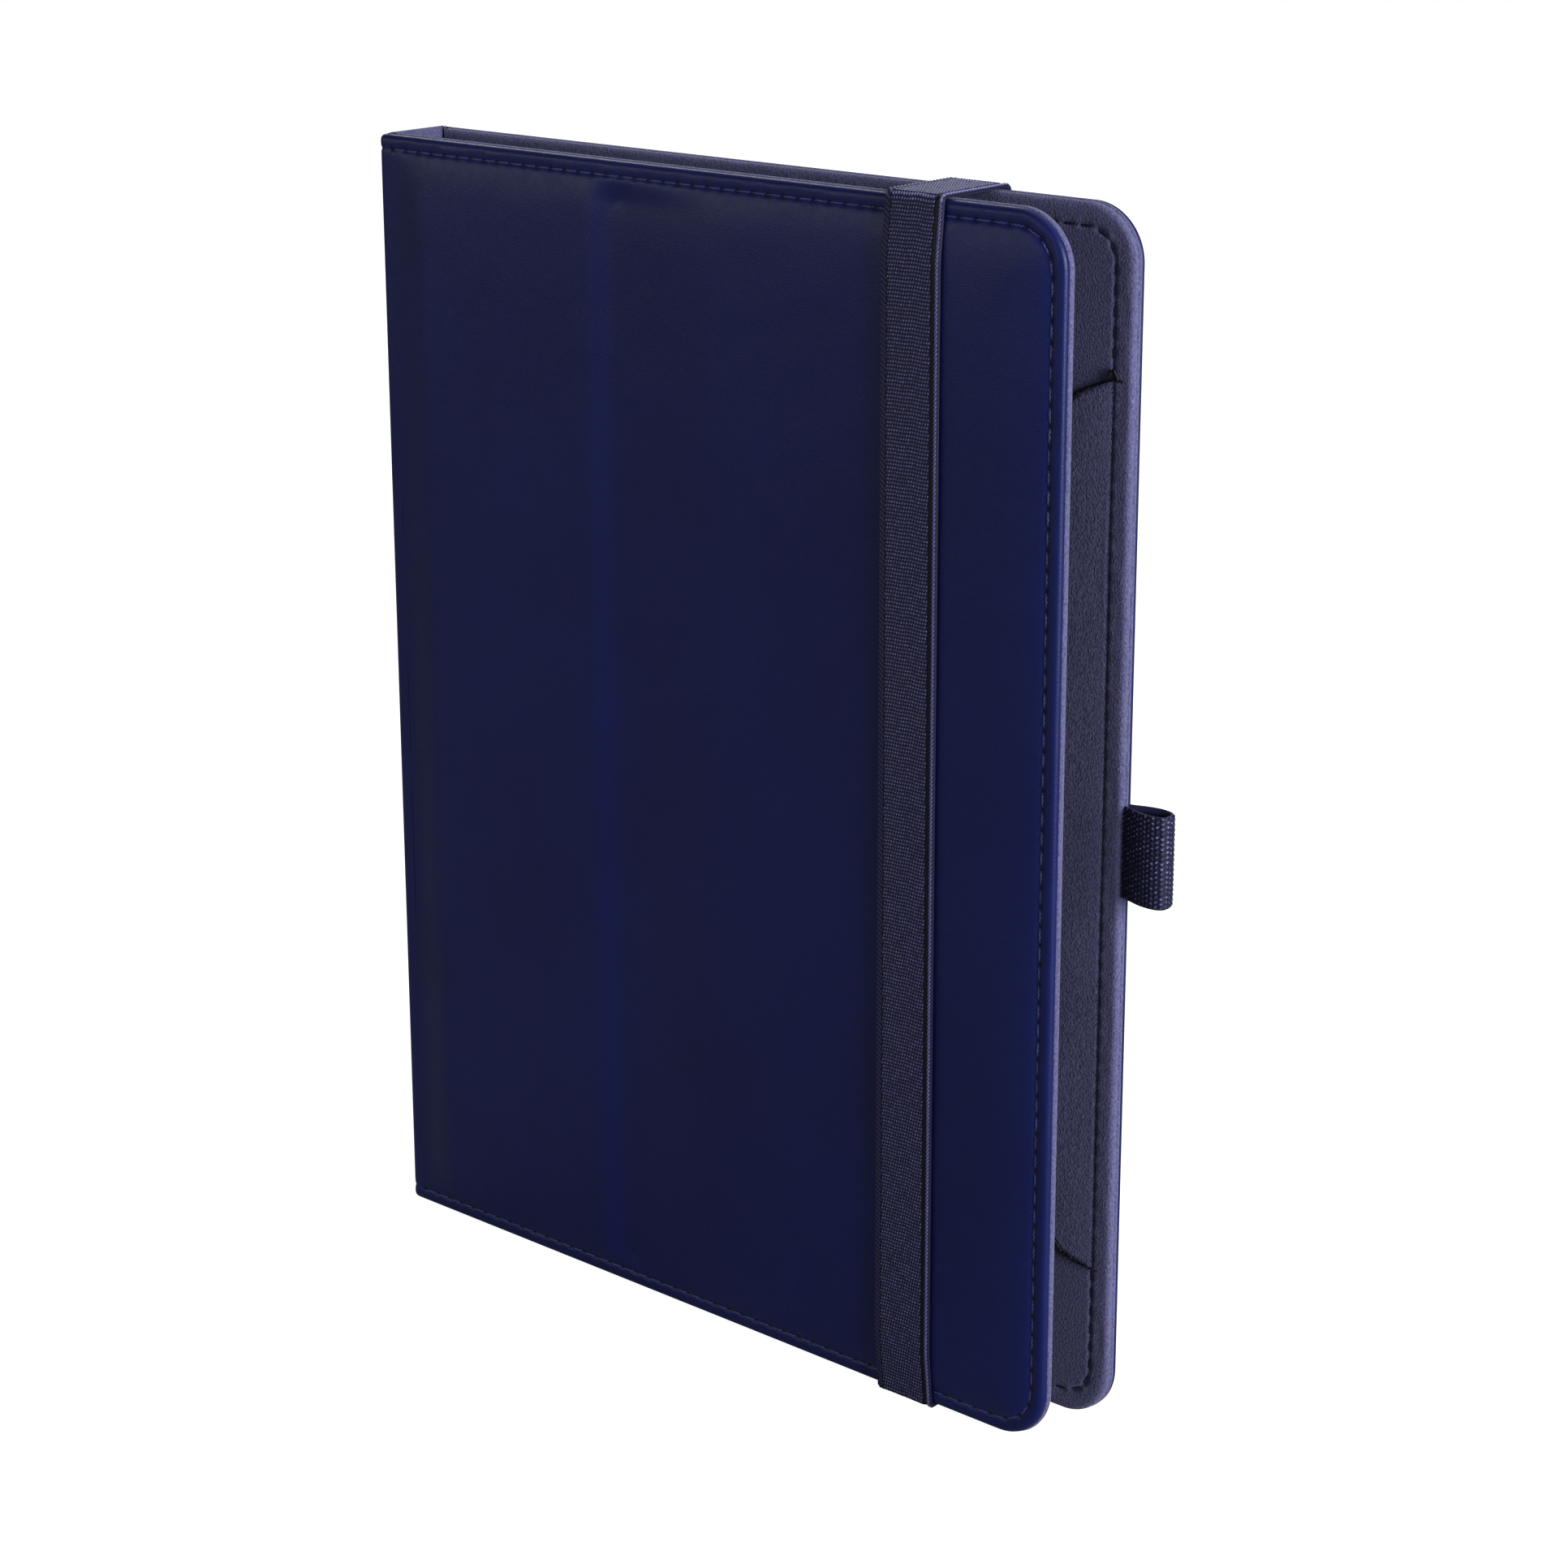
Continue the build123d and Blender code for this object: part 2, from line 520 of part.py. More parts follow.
def all_parts():
    rows = key_rows()
    parts = {
        "rear_skin": rear_skin(),
        "rear_board": rear_board(),
        "rear_lining": rear_lining(),
        "keyboard_flap": keyboard_flap(),
        "stand_rails": stand_rails(),
        "pen_loop": pen_loop(),
        "strap_back_ends": strap_back_ends(),
        "strap_top_return": strap_return(STRAP_TOP_Z, STRAP_TOP_Z + STRAP_THICKNESS, 1),
        "strap_bottom_return": strap_return(STRAP_SINK - STRAP_THICKNESS, STRAP_SINK, -1),
        "strap_front_run": strap_front_run(),
        "rear_fold_skin": fold_skin(False),
        "front_fold_skin": fold_skin(True),
        "rear_fold_lining": fold_lining(REAR_INNER_Y, REAR_BOARD_INNER_Y),
        "front_fold_lining": fold_lining(FRONT_LINING_Y, FRONT_INNER_Y),
        "spine_skin": spine_skin(),
        "spine_board": spine_layer(SKIN, SKIN + FRONT_BOARD, TURNED_EDGE),
        "spine_lining": spine_layer(SKIN + FRONT_BOARD, SKIN + FRONT_BOARD + FRONT_LINING, 0),
        "front_inner_skin": front_inner_skin(),
        "front_inner_board": slab(PANEL_START, CREASE_START, FRONT_BOARD_Y, FRONT_LINING_Y, TURNED_EDGE,
                                  CASE_HEIGHT - TURNED_EDGE),
        "front_inner_lining": slab(PANEL_START, CREASE_START, FRONT_LINING_Y, FRONT_INNER_Y, 0, CASE_HEIGHT),
        "crease_skin": crease_skin(),
        "crease_lining": crease_lining(),
        "front_outer_skin": front_outer_skin(),
        "front_outer_board": front_outer_board(),
        "front_outer_lining": front_outer_lining(),
        "corner_bands": mirrored_pair(corner_band()),
        "edge_clips": mirrored_pair(edge_clip()),
        "keyboard_base": keyboard_base(),
        "keyboard_frame": keyboard_frame(rows),
        "keyboard_plate": key_field(FLOOR_Y, FILM_Y),
        "key_film": key_field(FILM_Y, DOME_Y),
        "key_domes": key_domes(rows),
        "keyboard_screws": keyboard_screws(),
        "circuit_board": circuit_board(),
        "battery": battery(),
        "charge_socket": charge_socket(),
        "status_lamps": status_lamps(),
        "power_switch": power_switch(),
        "pair_button": pair_button(),
        "fixing_tapes": fixing_tapes(),
    }
    for name, cells in rows.items():
        parts[name] = Compound(children=[key(cell) for cell in cells])
    return parts


os.makedirs("parts", exist_ok=True)
for node, shape in all_parts().items():
    export_step(TO_SHARED_FRAME * shape, f"parts/{node}.step")
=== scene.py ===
import json
import math

import bmesh
import bpy
import numpy as np
from mathutils import Matrix, Vector


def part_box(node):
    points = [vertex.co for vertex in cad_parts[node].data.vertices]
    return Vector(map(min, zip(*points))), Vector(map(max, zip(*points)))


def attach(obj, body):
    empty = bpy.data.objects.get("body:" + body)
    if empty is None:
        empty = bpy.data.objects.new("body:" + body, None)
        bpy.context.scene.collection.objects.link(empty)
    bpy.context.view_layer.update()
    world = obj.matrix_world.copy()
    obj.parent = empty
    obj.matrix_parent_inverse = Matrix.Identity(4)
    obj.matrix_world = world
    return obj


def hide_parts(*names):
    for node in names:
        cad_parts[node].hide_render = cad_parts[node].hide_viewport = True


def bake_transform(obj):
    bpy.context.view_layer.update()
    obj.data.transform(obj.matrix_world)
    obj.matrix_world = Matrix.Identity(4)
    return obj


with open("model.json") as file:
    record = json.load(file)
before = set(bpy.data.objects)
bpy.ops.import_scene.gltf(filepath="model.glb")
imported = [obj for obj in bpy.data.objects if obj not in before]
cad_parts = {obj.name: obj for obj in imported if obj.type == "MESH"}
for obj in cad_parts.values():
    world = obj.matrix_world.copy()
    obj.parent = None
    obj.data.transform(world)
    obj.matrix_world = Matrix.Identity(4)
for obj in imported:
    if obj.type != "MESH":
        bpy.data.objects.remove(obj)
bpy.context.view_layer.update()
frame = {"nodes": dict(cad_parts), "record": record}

# ---------------------------------------------------------------- sizes, in mm
# Working frame: x = 0 at the spine's outer face, y = 0 at the rear cover's outer face (front is -y),
# z = 0 at the covers' lower edge. The case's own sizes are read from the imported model's boxes.
MM = 0.001
fold_low, fold_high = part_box("rear_fold_skin")
ORIGIN = np.array([fold_low[0], fold_high[1], fold_low[2]])


def mm_box(node):
    """A node's lowest and highest corner in the working frame."""
    low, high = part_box(node)
    return (np.array(low) - ORIGIN) / MM, (np.array(high) - ORIGIN) / MM


PANEL_START = mm_box("rear_fold_skin")[1][0]
HEIGHT = mm_box("rear_fold_skin")[1][2]
FRONT_WIDTH = mm_box("front_outer_skin")[1][0]
REAR_WIDTH = mm_box("rear_lining")[1][0]
FRONT_Y = mm_box("front_outer_skin")[0][1]
FRONT_INNER_Y = mm_box("front_outer_lining")[1][1]
REAR_INNER_Y = mm_box("rear_lining")[0][1]
STRAP_LOW, STRAP_HIGH = mm_box("strap_front_run")
STRAP_X = (STRAP_LOW[0] + STRAP_HIGH[0]) / 2
STRAP_HALF = (STRAP_HIGH[0] - STRAP_LOW[0]) / 2
LOOP_LOW, LOOP_HIGH = mm_box("pen_loop")
LOOP_HALF = (LOOP_HIGH[2] - LOOP_LOW[2]) / 2
SPINE_END_GAP = -mm_box("spine_skin")[1][1]
SPINE_INNER_X = mm_box("spine_lining")[1][0]
CORNER_RADIUS = 12.0
FOLD_RADIUS = 2.0
GRID_STEP = 0.85

# Pressed fold band of the front cover: its lowest line, the wall on the spine side and the long rise.
CREASE_BOTTOM = 73.8
CREASE_WALL = 7.2
CREASE_RISE = 34.0
CREASE_DEPTH = 1.1
FUNNEL_DEPTH = 0.16
STREAK_DEPTH = 0.22

# Padding under the skins, which rises from the stitch line and fades out at the spine.
FRONT_CROWN = 1.25
BACK_CROWN = 0.4
CROWN_START = 3.3
CROWN_LENGTH = 5.2
SPINE_FADE = 12.0

# Stitching: the distance between holes, each seam's distance from the edge, and the dent at a hole.
STITCH_PITCH = 4.2
STITCH_START = PANEL_START - 1.6
FRONT_STITCH_INSET = 3.2
REAR_STITCH_INSET = 4.9
BACK_STITCH_INSET = 3.5
DENT_DEPTH = 0.36
DENT_REACH = 0.62
THREAD_RADIUS = 0.27

# Strap, pen loop, corner bands and edge clips.
STRAP_THICKNESS = 1.0
RIB_PITCH = 0.79
BEAD_PITCH = 0.68
SLOT_INSET = 9.5
SLOT_DENT_INSET = 9.6
SLOT_DENT_X = 158.0
SLOT_DENT_HALF = 8.2
SLOT_DENT_DEPTH = 0.35
RIBBON_STEP = 0.19
SELVEDGE_END = 1.6
BEADS_START, BEADS_END = 1.75, 12.9
EDGE_CORD_START, EDGE_CORD_END = 14.1, 14.75
LOOP_THICKNESS = 0.9
LOOP_COLUMN = 0.95
LOOP_STITCH = 1.08
BAND_THICKNESS = 0.6
BAND_NEAR, BAND_FAR = 22.0, 36.0
CLIP_THICKNESS = 1.2
CLIP_LIP = 5.0
BEND_RADIUS = 0.7

# Keyboard flap, sewn in along the rear stitch line, its seams, and the ridges for the tablet's edge.
FLAP_LIFT = 0.32
FLAP_HEM = 0.12
FLAP_SEWN_X = REAR_WIDTH - REAR_STITCH_INSET
FLAP_ROWS_LENGTH = 193.2
SEAM_STEP = 0.18
RIDGE_WIDTH = 4.0
RIDGE_ROUNDING = 1.4

# Studio, in metres and light strengths.
FLOOR_HALF = 3.0
FLOOR_GLOW = 0.94
ROOM_LIGHT = 0.18
CASE_CENTRE = (0, 0, 0.13)

# Camera: its place in the working frame, its angles in degrees, its lens in mm and its shift.
CAMERA_PLACE = (577.13, -550.09, 361.35)
CAMERA_YAW, CAMERA_PITCH, CAMERA_ROLL = 40.68, 15.26, -0.11
CAMERA_LENS = 77.56
CAMERA_SHIFT = (0.0011, -0.105)

# Edge profiles, from the flat of the face to the end that is turned in: (distance in from the edge,
# depth below the face).
FLAT = [(12, 0), (11.1, 0), (10.2, 0), (9.3, 0), (8.5, 0), (7.7, 0), (6.9, 0), (6.2, 0)]
FRONT_SKIN_EDGE = FLAT + [
    (5.6, 0.0), (5.1, 0.0), (4.7, 0.01), (4.3, 0.02), (4.0, 0.04), (3.7, 0.09), (3.45, 0.17), (3.2, 0.22),
    (3.0, 0.17), (2.8, 0.08), (2.55, 0.02), (2.25, -0.01), (1.9, -0.02), (1.5, -0.02), (1.15, 0.01),
    (0.85, 0.09), (0.57, 0.23), (0.32, 0.46), (0.13, 0.77), (0.03, 1.1), (0.0, 1.42), (0.08, 1.7),
    (0.32, 1.88), (0.6, 1.95),
]
FRONT_LINING_EDGE = FLAT + [
    (5.5, 0.0), (5.0, 0.03), (4.5, 0.12), (4.1, 0.28), (3.8, 0.36), (3.5, 0.28), (3.1, 0.1), (2.6, -0.12),
    (2.0, -0.32), (1.4, -0.38), (0.85, -0.27), (0.35, -0.02), (0.0, 0.33), (-0.24, 0.75), (-0.32, 1.2),
    (-0.22, 1.65), (0.05, 1.95), (0.45, 2.0),
]
REAR_LINING_EDGE = FLAT + [
    (5.75, 0.02), (5.45, 0.1), (5.15, 0.3), (4.9, 0.4), (4.65, 0.3), (4.35, 0.1), (4.0, -0.01), (3.4, -0.04),
    (2.8, -0.05), (2.1, -0.06), (1.4, -0.06), (1.0, -0.02), (0.7, 0.09), (0.42, 0.28), (0.2, 0.56),
    (0.12, 1.0), (0.3, 1.36), (0.42, 1.48), (0.22, 1.6), (0.04, 1.8), (-0.02, 2.05), (0.05, 2.3),
    (0.25, 2.5), (0.5, 2.55),
]
REAR_SKIN_EDGE = FLAT + [
    (5.6, 0.0), (5.1, 0.02), (4.7, 0.06), (4.3, 0.15), (4.0, 0.26), (3.75, 0.38), (3.5, 0.43), (3.25, 0.33),
    (3.0, 0.15), (2.7, 0.02), (2.3, -0.05), (1.8, -0.05), (1.3, 0.03), (0.9, 0.16), (0.55, 0.36),
    (0.25, 0.62), (0.06, 0.95), (0.0, 1.3), (0.06, 1.55), (0.3, 1.68), (0.6, 1.7),
]


def place(points):
    """Working-frame millimetres to scene metres."""
    return np.asarray(points, float) * MM + ORIGIN


# ---------------------------------------------------------------- mesh helpers
def new_object(name, vertices, faces):
    """A smooth-shaded mesh object in the scene, from vertices in metres."""
    mesh = bpy.data.meshes.new(name)
    mesh.from_pydata(np.asarray(vertices).tolist(), [], faces)
    mesh.validate()
    mesh.shade_smooth()
    obj = bpy.data.objects.new(name, mesh)
    bpy.context.scene.collection.objects.link(obj)
    return obj


def grid_faces(rows, columns, wrap=False, flip=False, start=0):
    """Quads of a rows x columns grid, optionally closed along the columns."""
    last = columns if wrap else columns - 1
    i, j = np.meshgrid(np.arange(rows - 1), np.arange(last), indexing="ij")
    k = (j + 1) % columns
    quads = np.stack([i * columns + j, (i + 1) * columns + j, (i + 1) * columns + k, i * columns + k], -1)
    quads = quads.reshape(-1, 4) + start
    return (quads[:, ::-1] if flip else quads).tolist()


def grid_object(name, grid, flip=False):
    """One open sheet from a grid of working-frame points."""
    rows, columns = grid.shape[:2]
    return new_object(name, place(grid.reshape(-1, 3)), grid_faces(rows, columns, flip=flip))


def join_tubes(name, grids, caps=False):
    """Tubes as one mesh, each a grid closed along its columns and optionally capped at both ends."""
    vertices, faces, start = [], [], 0
    for grid in grids:
        rows, columns = grid.shape[:2]
        end = start + rows * columns
        vertices.append(grid.reshape(-1, 3))
        faces += grid_faces(rows, columns, wrap=True, start=start)
        if caps:
            faces.append(list(range(start, start + columns))[::-1])
            faces.append(list(range(end - columns, end)))
        start = end
    return new_object(name, place(np.concatenate(vertices)), faces)


def waves(x, z, seed, length, count=7):
    """Smooth seeded unevenness between about -1 and 1, with the given typical wavelength."""
    rng = np.random.default_rng(seed)
    total = np.zeros(np.broadcast(x, z).shape)
    for _ in range(count):
        angle, phase = rng.uniform(0, 2 * math.pi, 2)
        k = 2 * math.pi / (length * rng.uniform(0.7, 1.5))
        total = total + np.sin(k * (x * math.cos(angle) + z * math.sin(angle)) + phase)
    return total / math.sqrt(count)


def bump(value, centre, width):
    """1 at the centre, falling smoothly to 0 on both sides."""
    return np.exp(-(((value - centre) / width) ** 2))


def smooth(t):
    """Eased step from 0 to 1."""
    t = np.clip(t, 0, 1)
    return t * t * (3 - 2 * t)


# ---------------------------------------------------------------- covers
def stitch_path(width, inset):
    """Stitch holes (x, z) along the upper, free and lower edge, evenly spaced."""
    radius = CORNER_RADIUS - inset
    corner_x, corner_z = width - CORNER_RADIUS, HEIGHT - CORNER_RADIUS
    arc = radius * math.pi / 2
    upper_end = corner_x - STITCH_START
    side_start = upper_end + arc
    side_end = side_start + HEIGHT - 2 * CORNER_RADIUS
    lower_start = side_end + arc
    total = lower_start + corner_x - STITCH_START
    count = int(round(total / STITCH_PITCH))
    points = []
    for s in (np.arange(count) + 0.5) * total / count:
        if s < upper_end:
            points.append((STITCH_START + s, HEIGHT - inset))
        elif s < side_start:
            turn = (s - upper_end) / radius
            points.append((corner_x + radius * math.sin(turn), corner_z + radius * math.cos(turn)))
        elif s < side_end:
            points.append((width - inset, corner_z - (s - side_start)))
        elif s < lower_start:
            turn = (s - side_end) / radius
            points.append((corner_x + radius * math.cos(turn), CORNER_RADIUS - radius * math.sin(turn)))
        else:
            points.append((corner_x - (s - lower_start), inset))
    return np.array(points)


def edge_parameters(edge):
    """An edge profile's distances and depths, and its running length in corner radii from the flat."""
    d, t = np.array(edge, float).T
    steps = np.hypot(np.diff(d), np.diff(t))
    return d, t, np.concatenate([[0], np.cumsum(steps)]) / CORNER_RADIUS


def row_lines(edge):
    """z, depth and signed edge parameter of the rows of a cover, from the lower to the upper edge."""
    d, t, g = edge_parameters(edge)
    count = int((HEIGHT - 2 * CORNER_RADIUS) / GRID_STEP)
    middle = np.linspace(CORNER_RADIUS, HEIGHT - CORNER_RADIUS, count)[1:-1]
    z = np.concatenate([d[::-1], middle, HEIGHT - d])
    depth = np.concatenate([t[::-1], middle * 0, t])
    signed = np.concatenate([-g[::-1], middle * 0, g])
    return z, depth, signed


def cover_grid(width, edge):
    """x, z, depth below the face and distance from the edge for a cover with two rounded corners."""
    d, t, g = edge_parameters(edge)
    count = int((width - CORNER_RADIUS - PANEL_START) / GRID_STEP)
    straight = np.linspace(PANEL_START, width - CORNER_RADIUS, count)[:-1]
    column_x = np.concatenate([straight, width - d])
    column_t = np.concatenate([straight * 0, t])
    column_g = np.concatenate([straight * 0, g])
    column_d = np.concatenate([straight * 0 + CORNER_RADIUS, d])
    row_z, row_t, row_g = row_lines(edge)
    row_d = np.minimum(row_z, HEIGHT - row_z)
    x, z = np.meshgrid(column_x, row_z, indexing="ij")
    tx, tz = np.meshgrid(column_t, row_t, indexing="ij")
    gx, gz = np.meshgrid(column_g, row_g, indexing="ij")
    dx, dz = np.meshgrid(column_d, row_d, indexing="ij")
    by_column = gx >= np.abs(gz)
    depth = np.where(by_column, tx, tz)
    distance = np.where(by_column, dx, dz)
    distance = np.where((gx <= 0) & (gz == 0), np.minimum(width - x, np.minimum(z, HEIGHT - z)), distance)
    corner = (gx > 0) & (np.abs(gz) > 0)
    larger = np.maximum(np.maximum(gx, np.abs(gz)), 1e-9)
    ratio = np.minimum(gx, np.abs(gz)) / larger
    angle = np.where(by_column, ratio, 2 - ratio) * math.pi / 4
    radius = CORNER_RADIUS - np.where(corner, distance, 0)
    side = np.sign(gz)
    centre_z = np.where(side > 0, HEIGHT - CORNER_RADIUS, CORNER_RADIUS)
    x = np.where(corner, width - CORNER_RADIUS + radius * np.cos(angle), x)
    z = np.where(corner, centre_z + side * radius * np.sin(angle), z)
    return x, z, depth, distance


def pucker(x, z, distance, stitches, inset, depth=DENT_DEPTH, reach=DENT_REACH):
    """Dents at the stitch holes."""
    near = np.abs(distance - inset) < 3 * reach
    dent = np.zeros(x.shape)
    gap = (x[near][:, None] - stitches[:, 0]) ** 2 + (z[near][:, None] - stitches[:, 1]) ** 2
    dent[near] = depth * np.exp(-gap.min(axis=1) / reach ** 2)
    return dent


def cover_sheet(name, width, edge, face_y, inward, relief):
    """A cover's face as one mesh, turned over its three free edges. inward is the y direction into it."""
    x, z, depth, distance = cover_grid(width, edge)
    on_face = np.clip((distance - 0.6) / 1.2, 0, 1)
    depth = depth + relief(x, z, distance) * on_face
    grid = np.stack([x, face_y + inward * depth, z], -1)
    return grid_object(name, grid, flip=inward < 0)


front_stitches = stitch_path(FRONT_WIDTH, FRONT_STITCH_INSET)
rear_stitches = stitch_path(REAR_WIDTH, REAR_STITCH_INSET)
back_stitches = stitch_path(REAR_WIDTH, BACK_STITCH_INSET)


def crease_depth(x):
    """Pressed fold band: a short wall on the spine side and a long shallow rise on the other."""
    t = np.where(x < CREASE_BOTTOM, (CREASE_BOTTOM - x) / CREASE_WALL, (x - CREASE_BOTTOM) / CREASE_RISE)
    return CREASE_DEPTH * smooth(1 - t)


def crown(x, distance, height):
    """How far padding lifts the face, rising from the stitch line and from the spine."""
    rise = 1 - np.exp(-np.clip(distance - CROWN_START, 0, None) / CROWN_LENGTH)
    return height * rise * smooth((x - PANEL_START) / SPINE_FADE)


def crease_ends(x, z):
    """The pressed band opens like a funnel, with a slanted streak, where it runs out at the sewn hem."""
    from_end = np.minimum(z, HEIGHT - z)
    funnel = bump(x, CREASE_BOTTOM + 2.0, 4.0) * bump(from_end, 6.0, 6.0)
    streak = bump(x + 0.9 * from_end, CREASE_BOTTOM + 9.4, 1.1) * bump(from_end, 6.5, 3.0)
    return FUNNEL_DEPTH * funnel + STREAK_DEPTH * streak


def away_from_hem(distance):
    """0 at the sewn hem, rising to 1 well inside it."""
    return np.clip((distance - 3.5) / 14, 0, 1)


def strap_dip(x, depth=0.12, fade=1.2):
    """How far the strap presses the padding in, easing out beside it."""
    from_strap = np.abs(x - STRAP_X)
    return depth * np.where(from_strap < STRAP_HALF, 1.0, bump(from_strap, STRAP_HALF, fade))


def front_relief(x, z, distance):
    """Padding, crease, stitch dents and slight unevenness of the front skin."""
    inner = away_from_hem(distance)
    padding = strap_dip(x) * inner - crown(x, distance, FRONT_CROWN)
    uneven = 0.07 * waves(x, z, 3, 60) * inner + 0.02 * waves(x, z, 5, 14)
    hem_uneven = 0.05 * waves(x, z, 8, 9) * bump(distance, 1.8, 1.2)
    dents = pucker(x, z, distance, front_stitches, FRONT_STITCH_INSET)
    pressed = (crease_depth(x) + crease_ends(x, z)) * smooth((distance - 2.8) / 6.5)
    return padding + pressed + uneven + hem_uneven + dents


def rear_lining_relief(x, z, distance):
    """Pinches at the stitches and a slightly uneven hem."""
    pinch = -pucker(x, z, distance, rear_stitches, REAR_STITCH_INSET, depth=0.34, reach=0.75)
    hem_uneven = 0.06 * waves(x, z, 18, 11) * bump(distance, 2.2, 1.5)
    return pinch + hem_uneven + 0.04 * waves(x, z, 13, 45)


def back_relief(x, z, distance):
    """Stitch dents, slight padding and a pressed line where each strap end goes in."""
    dents = pucker(x, z, distance, back_stitches, BACK_STITCH_INSET)
    uneven = 0.06 * waves(x, z, 23, 55) * away_from_hem(distance)
    in_width = np.abs(x - SLOT_DENT_X) < SLOT_DENT_HALF
    at_slot = bump(np.minimum(z, HEIGHT - z), SLOT_DENT_INSET, 1.0) * in_width
    return dents - crown(x, distance, BACK_CROWN) + uneven + SLOT_DENT_DEPTH * at_slot


def front_lining_relief(x, z, distance):
    """Slightly uneven, with a trace of the crease from behind."""
    return 0.05 * waves(x, z, 33, 50) - 0.1 * crease_depth(x)


front_skin = cover_sheet("front_cover_skin", FRONT_WIDTH, FRONT_SKIN_EDGE, FRONT_Y, 1, front_relief)
front_lining = cover_sheet("front_cover_lining", FRONT_WIDTH, FRONT_LINING_EDGE, FRONT_INNER_Y, -1,
                           front_lining_relief)
rear_lining = cover_sheet("rear_cover_lining", REAR_WIDTH, REAR_LINING_EDGE, REAR_INNER_Y, 1,
                          rear_lining_relief)
rear_skin = cover_sheet("rear_cover_skin", REAR_WIDTH, REAR_SKIN_EDGE, 0.0, -1, back_relief)


# ---------------------------------------------------------------- spine and folds
def strip(name, path, normals, edge):
    """Sheet along a horizontal path, with the same turned ends as the covers."""
    z, depth, _ = row_lines(edge)
    path, normals = np.array(path, float), np.array(normals, float)
    grid = np.zeros((len(path), len(z), 3))
    grid[:, :, :2] = path[:, None, :] - normals[:, None, :] * depth[None, :, None]
    grid[:, :, 2] = z[None, :]
    return grid_object(name, grid)


def corner_arc(cx, cy, radius, start, end, count=9):
    """Points and outward normals along an arc in the horizontal plane, angles in degrees."""
    a = np.radians(np.linspace(start, end, count))
    normals = np.stack([np.cos(a), np.sin(a)], -1)
    return np.array([cx, cy]) + radius * normals, normals


def line(x0, y0, x1, y1, normal, count):
    """Evenly spaced points from one place to another, all with the same normal."""
    points = np.stack([np.linspace(x0, x1, count), np.linspace(y0, y1, count)], -1)
    return points, np.tile(normal, (count, 1))


def chain(*parts):
    """Stretches that meet end to end, as one path."""
    points = np.concatenate([parts[0][0]] + [p[0][1:] for p in parts[1:]])
    normals = np.concatenate([parts[0][1]] + [p[1][1:] for p in parts[1:]])
    return points, normals


SPINE_FRONT_Y, SPINE_REAR_Y = FRONT_Y + SPINE_END_GAP, -SPINE_END_GAP
front_corner = chain(
    line(0, SPINE_FRONT_Y, 0, FRONT_Y + FOLD_RADIUS, (-1, 0), 3),
    corner_arc(FOLD_RADIUS, FRONT_Y + FOLD_RADIUS, FOLD_RADIUS, 180, 270),
    line(FOLD_RADIUS, FRONT_Y, PANEL_START, FRONT_Y, (0, -1), 4),
)
rear_corner = chain(
    line(PANEL_START, 0, FOLD_RADIUS, 0, (0, 1), 4),
    corner_arc(FOLD_RADIUS, -FOLD_RADIUS, FOLD_RADIUS, 90, 180),
    line(0, -FOLD_RADIUS, 0, SPINE_REAR_Y, (-1, 0), 3),
)
spine_face = line(0, SPINE_REAR_Y, 0, SPINE_FRONT_Y, (-1, 0), 20)
front_fold = strip("front_fold_skin_soft", *front_corner, FRONT_SKIN_EDGE)
rear_fold = strip("rear_fold_skin_soft", *rear_corner, REAR_SKIN_EDGE)
spine_skin = strip("spine_skin_soft", *spine_face, FRONT_SKIN_EDGE)

spine_inner_face = line(SPINE_INNER_X, SPINE_FRONT_Y, SPINE_INNER_X, SPINE_REAR_Y, (1, 0), 20)
front_inner_corner = line(PANEL_START, FRONT_INNER_Y, SPINE_INNER_X, SPINE_FRONT_Y, (0.7, 0.7), 7)
rear_inner_corner = line(SPINE_INNER_X, SPINE_REAR_Y, PANEL_START, REAR_INNER_Y, (0.7, -0.7), 7)
spine_lining = strip("spine_lining_soft", *spine_inner_face, FRONT_LINING_EDGE)
front_fold_lining = strip("front_fold_lining_soft", *front_inner_corner, FRONT_LINING_EDGE)
rear_fold_lining = strip("rear_fold_lining_soft", *rear_inner_corner, FRONT_LINING_EDGE)


# ---------------------------------------------------------------- ribbons: strap, pen loop, bands
def ribbon_grid(centre, across, normal, thickness, relief, columns):
    """Closed cross-section swept along a path, with a tone that paints light and shade on its threads. across
    is the half width as a vector; relief(s, u) raises the outer face and gives that tone, with s the running
    length and u from -1 to 1 across."""
    centre, across, normal = (np.asarray(a, float) for a in (centre, across, normal))
    steps = np.linalg.norm(np.diff(centre, axis=0), axis=1)
    s = np.concatenate([[0], np.cumsum(steps)])[:, None]
    u = np.linspace(-1, 1, columns)[None, :]
    height, tone = relief(s, u)
    raised = height + thickness / 2 * np.ones((len(s), columns))
    fade = np.clip((1 - np.abs(u)) / 0.04, 0.35, 1)
    outer = centre[:, None] + across[:, None] * u[..., None] + normal[:, None] * (raised * fade)[..., None]
    inner_u = u[:, ::-6] if columns > 12 else u[:, ::-1]
    low = -thickness / 2 * np.clip((1 - np.abs(inner_u)) / 0.04, 0.35, 1) * np.ones((len(s), 1))
    inner = centre[:, None] + across[:, None] * inner_u[..., None] + normal[:, None] * low[..., None]
    return np.concatenate([outer, inner], axis=1), np.concatenate([tone, 0.25 + 0 * low], axis=1)


def tone_attribute(obj, tones):
    """Stores the tone, with its painted highlights and painted shade, on the mesh for its material to read.
    """
    values = obj.data.attributes.new("tone", "FLOAT", "POINT")
    values.data.foreach_set("value", np.concatenate([tone.ravel() for tone in tones]).astype(np.float32))


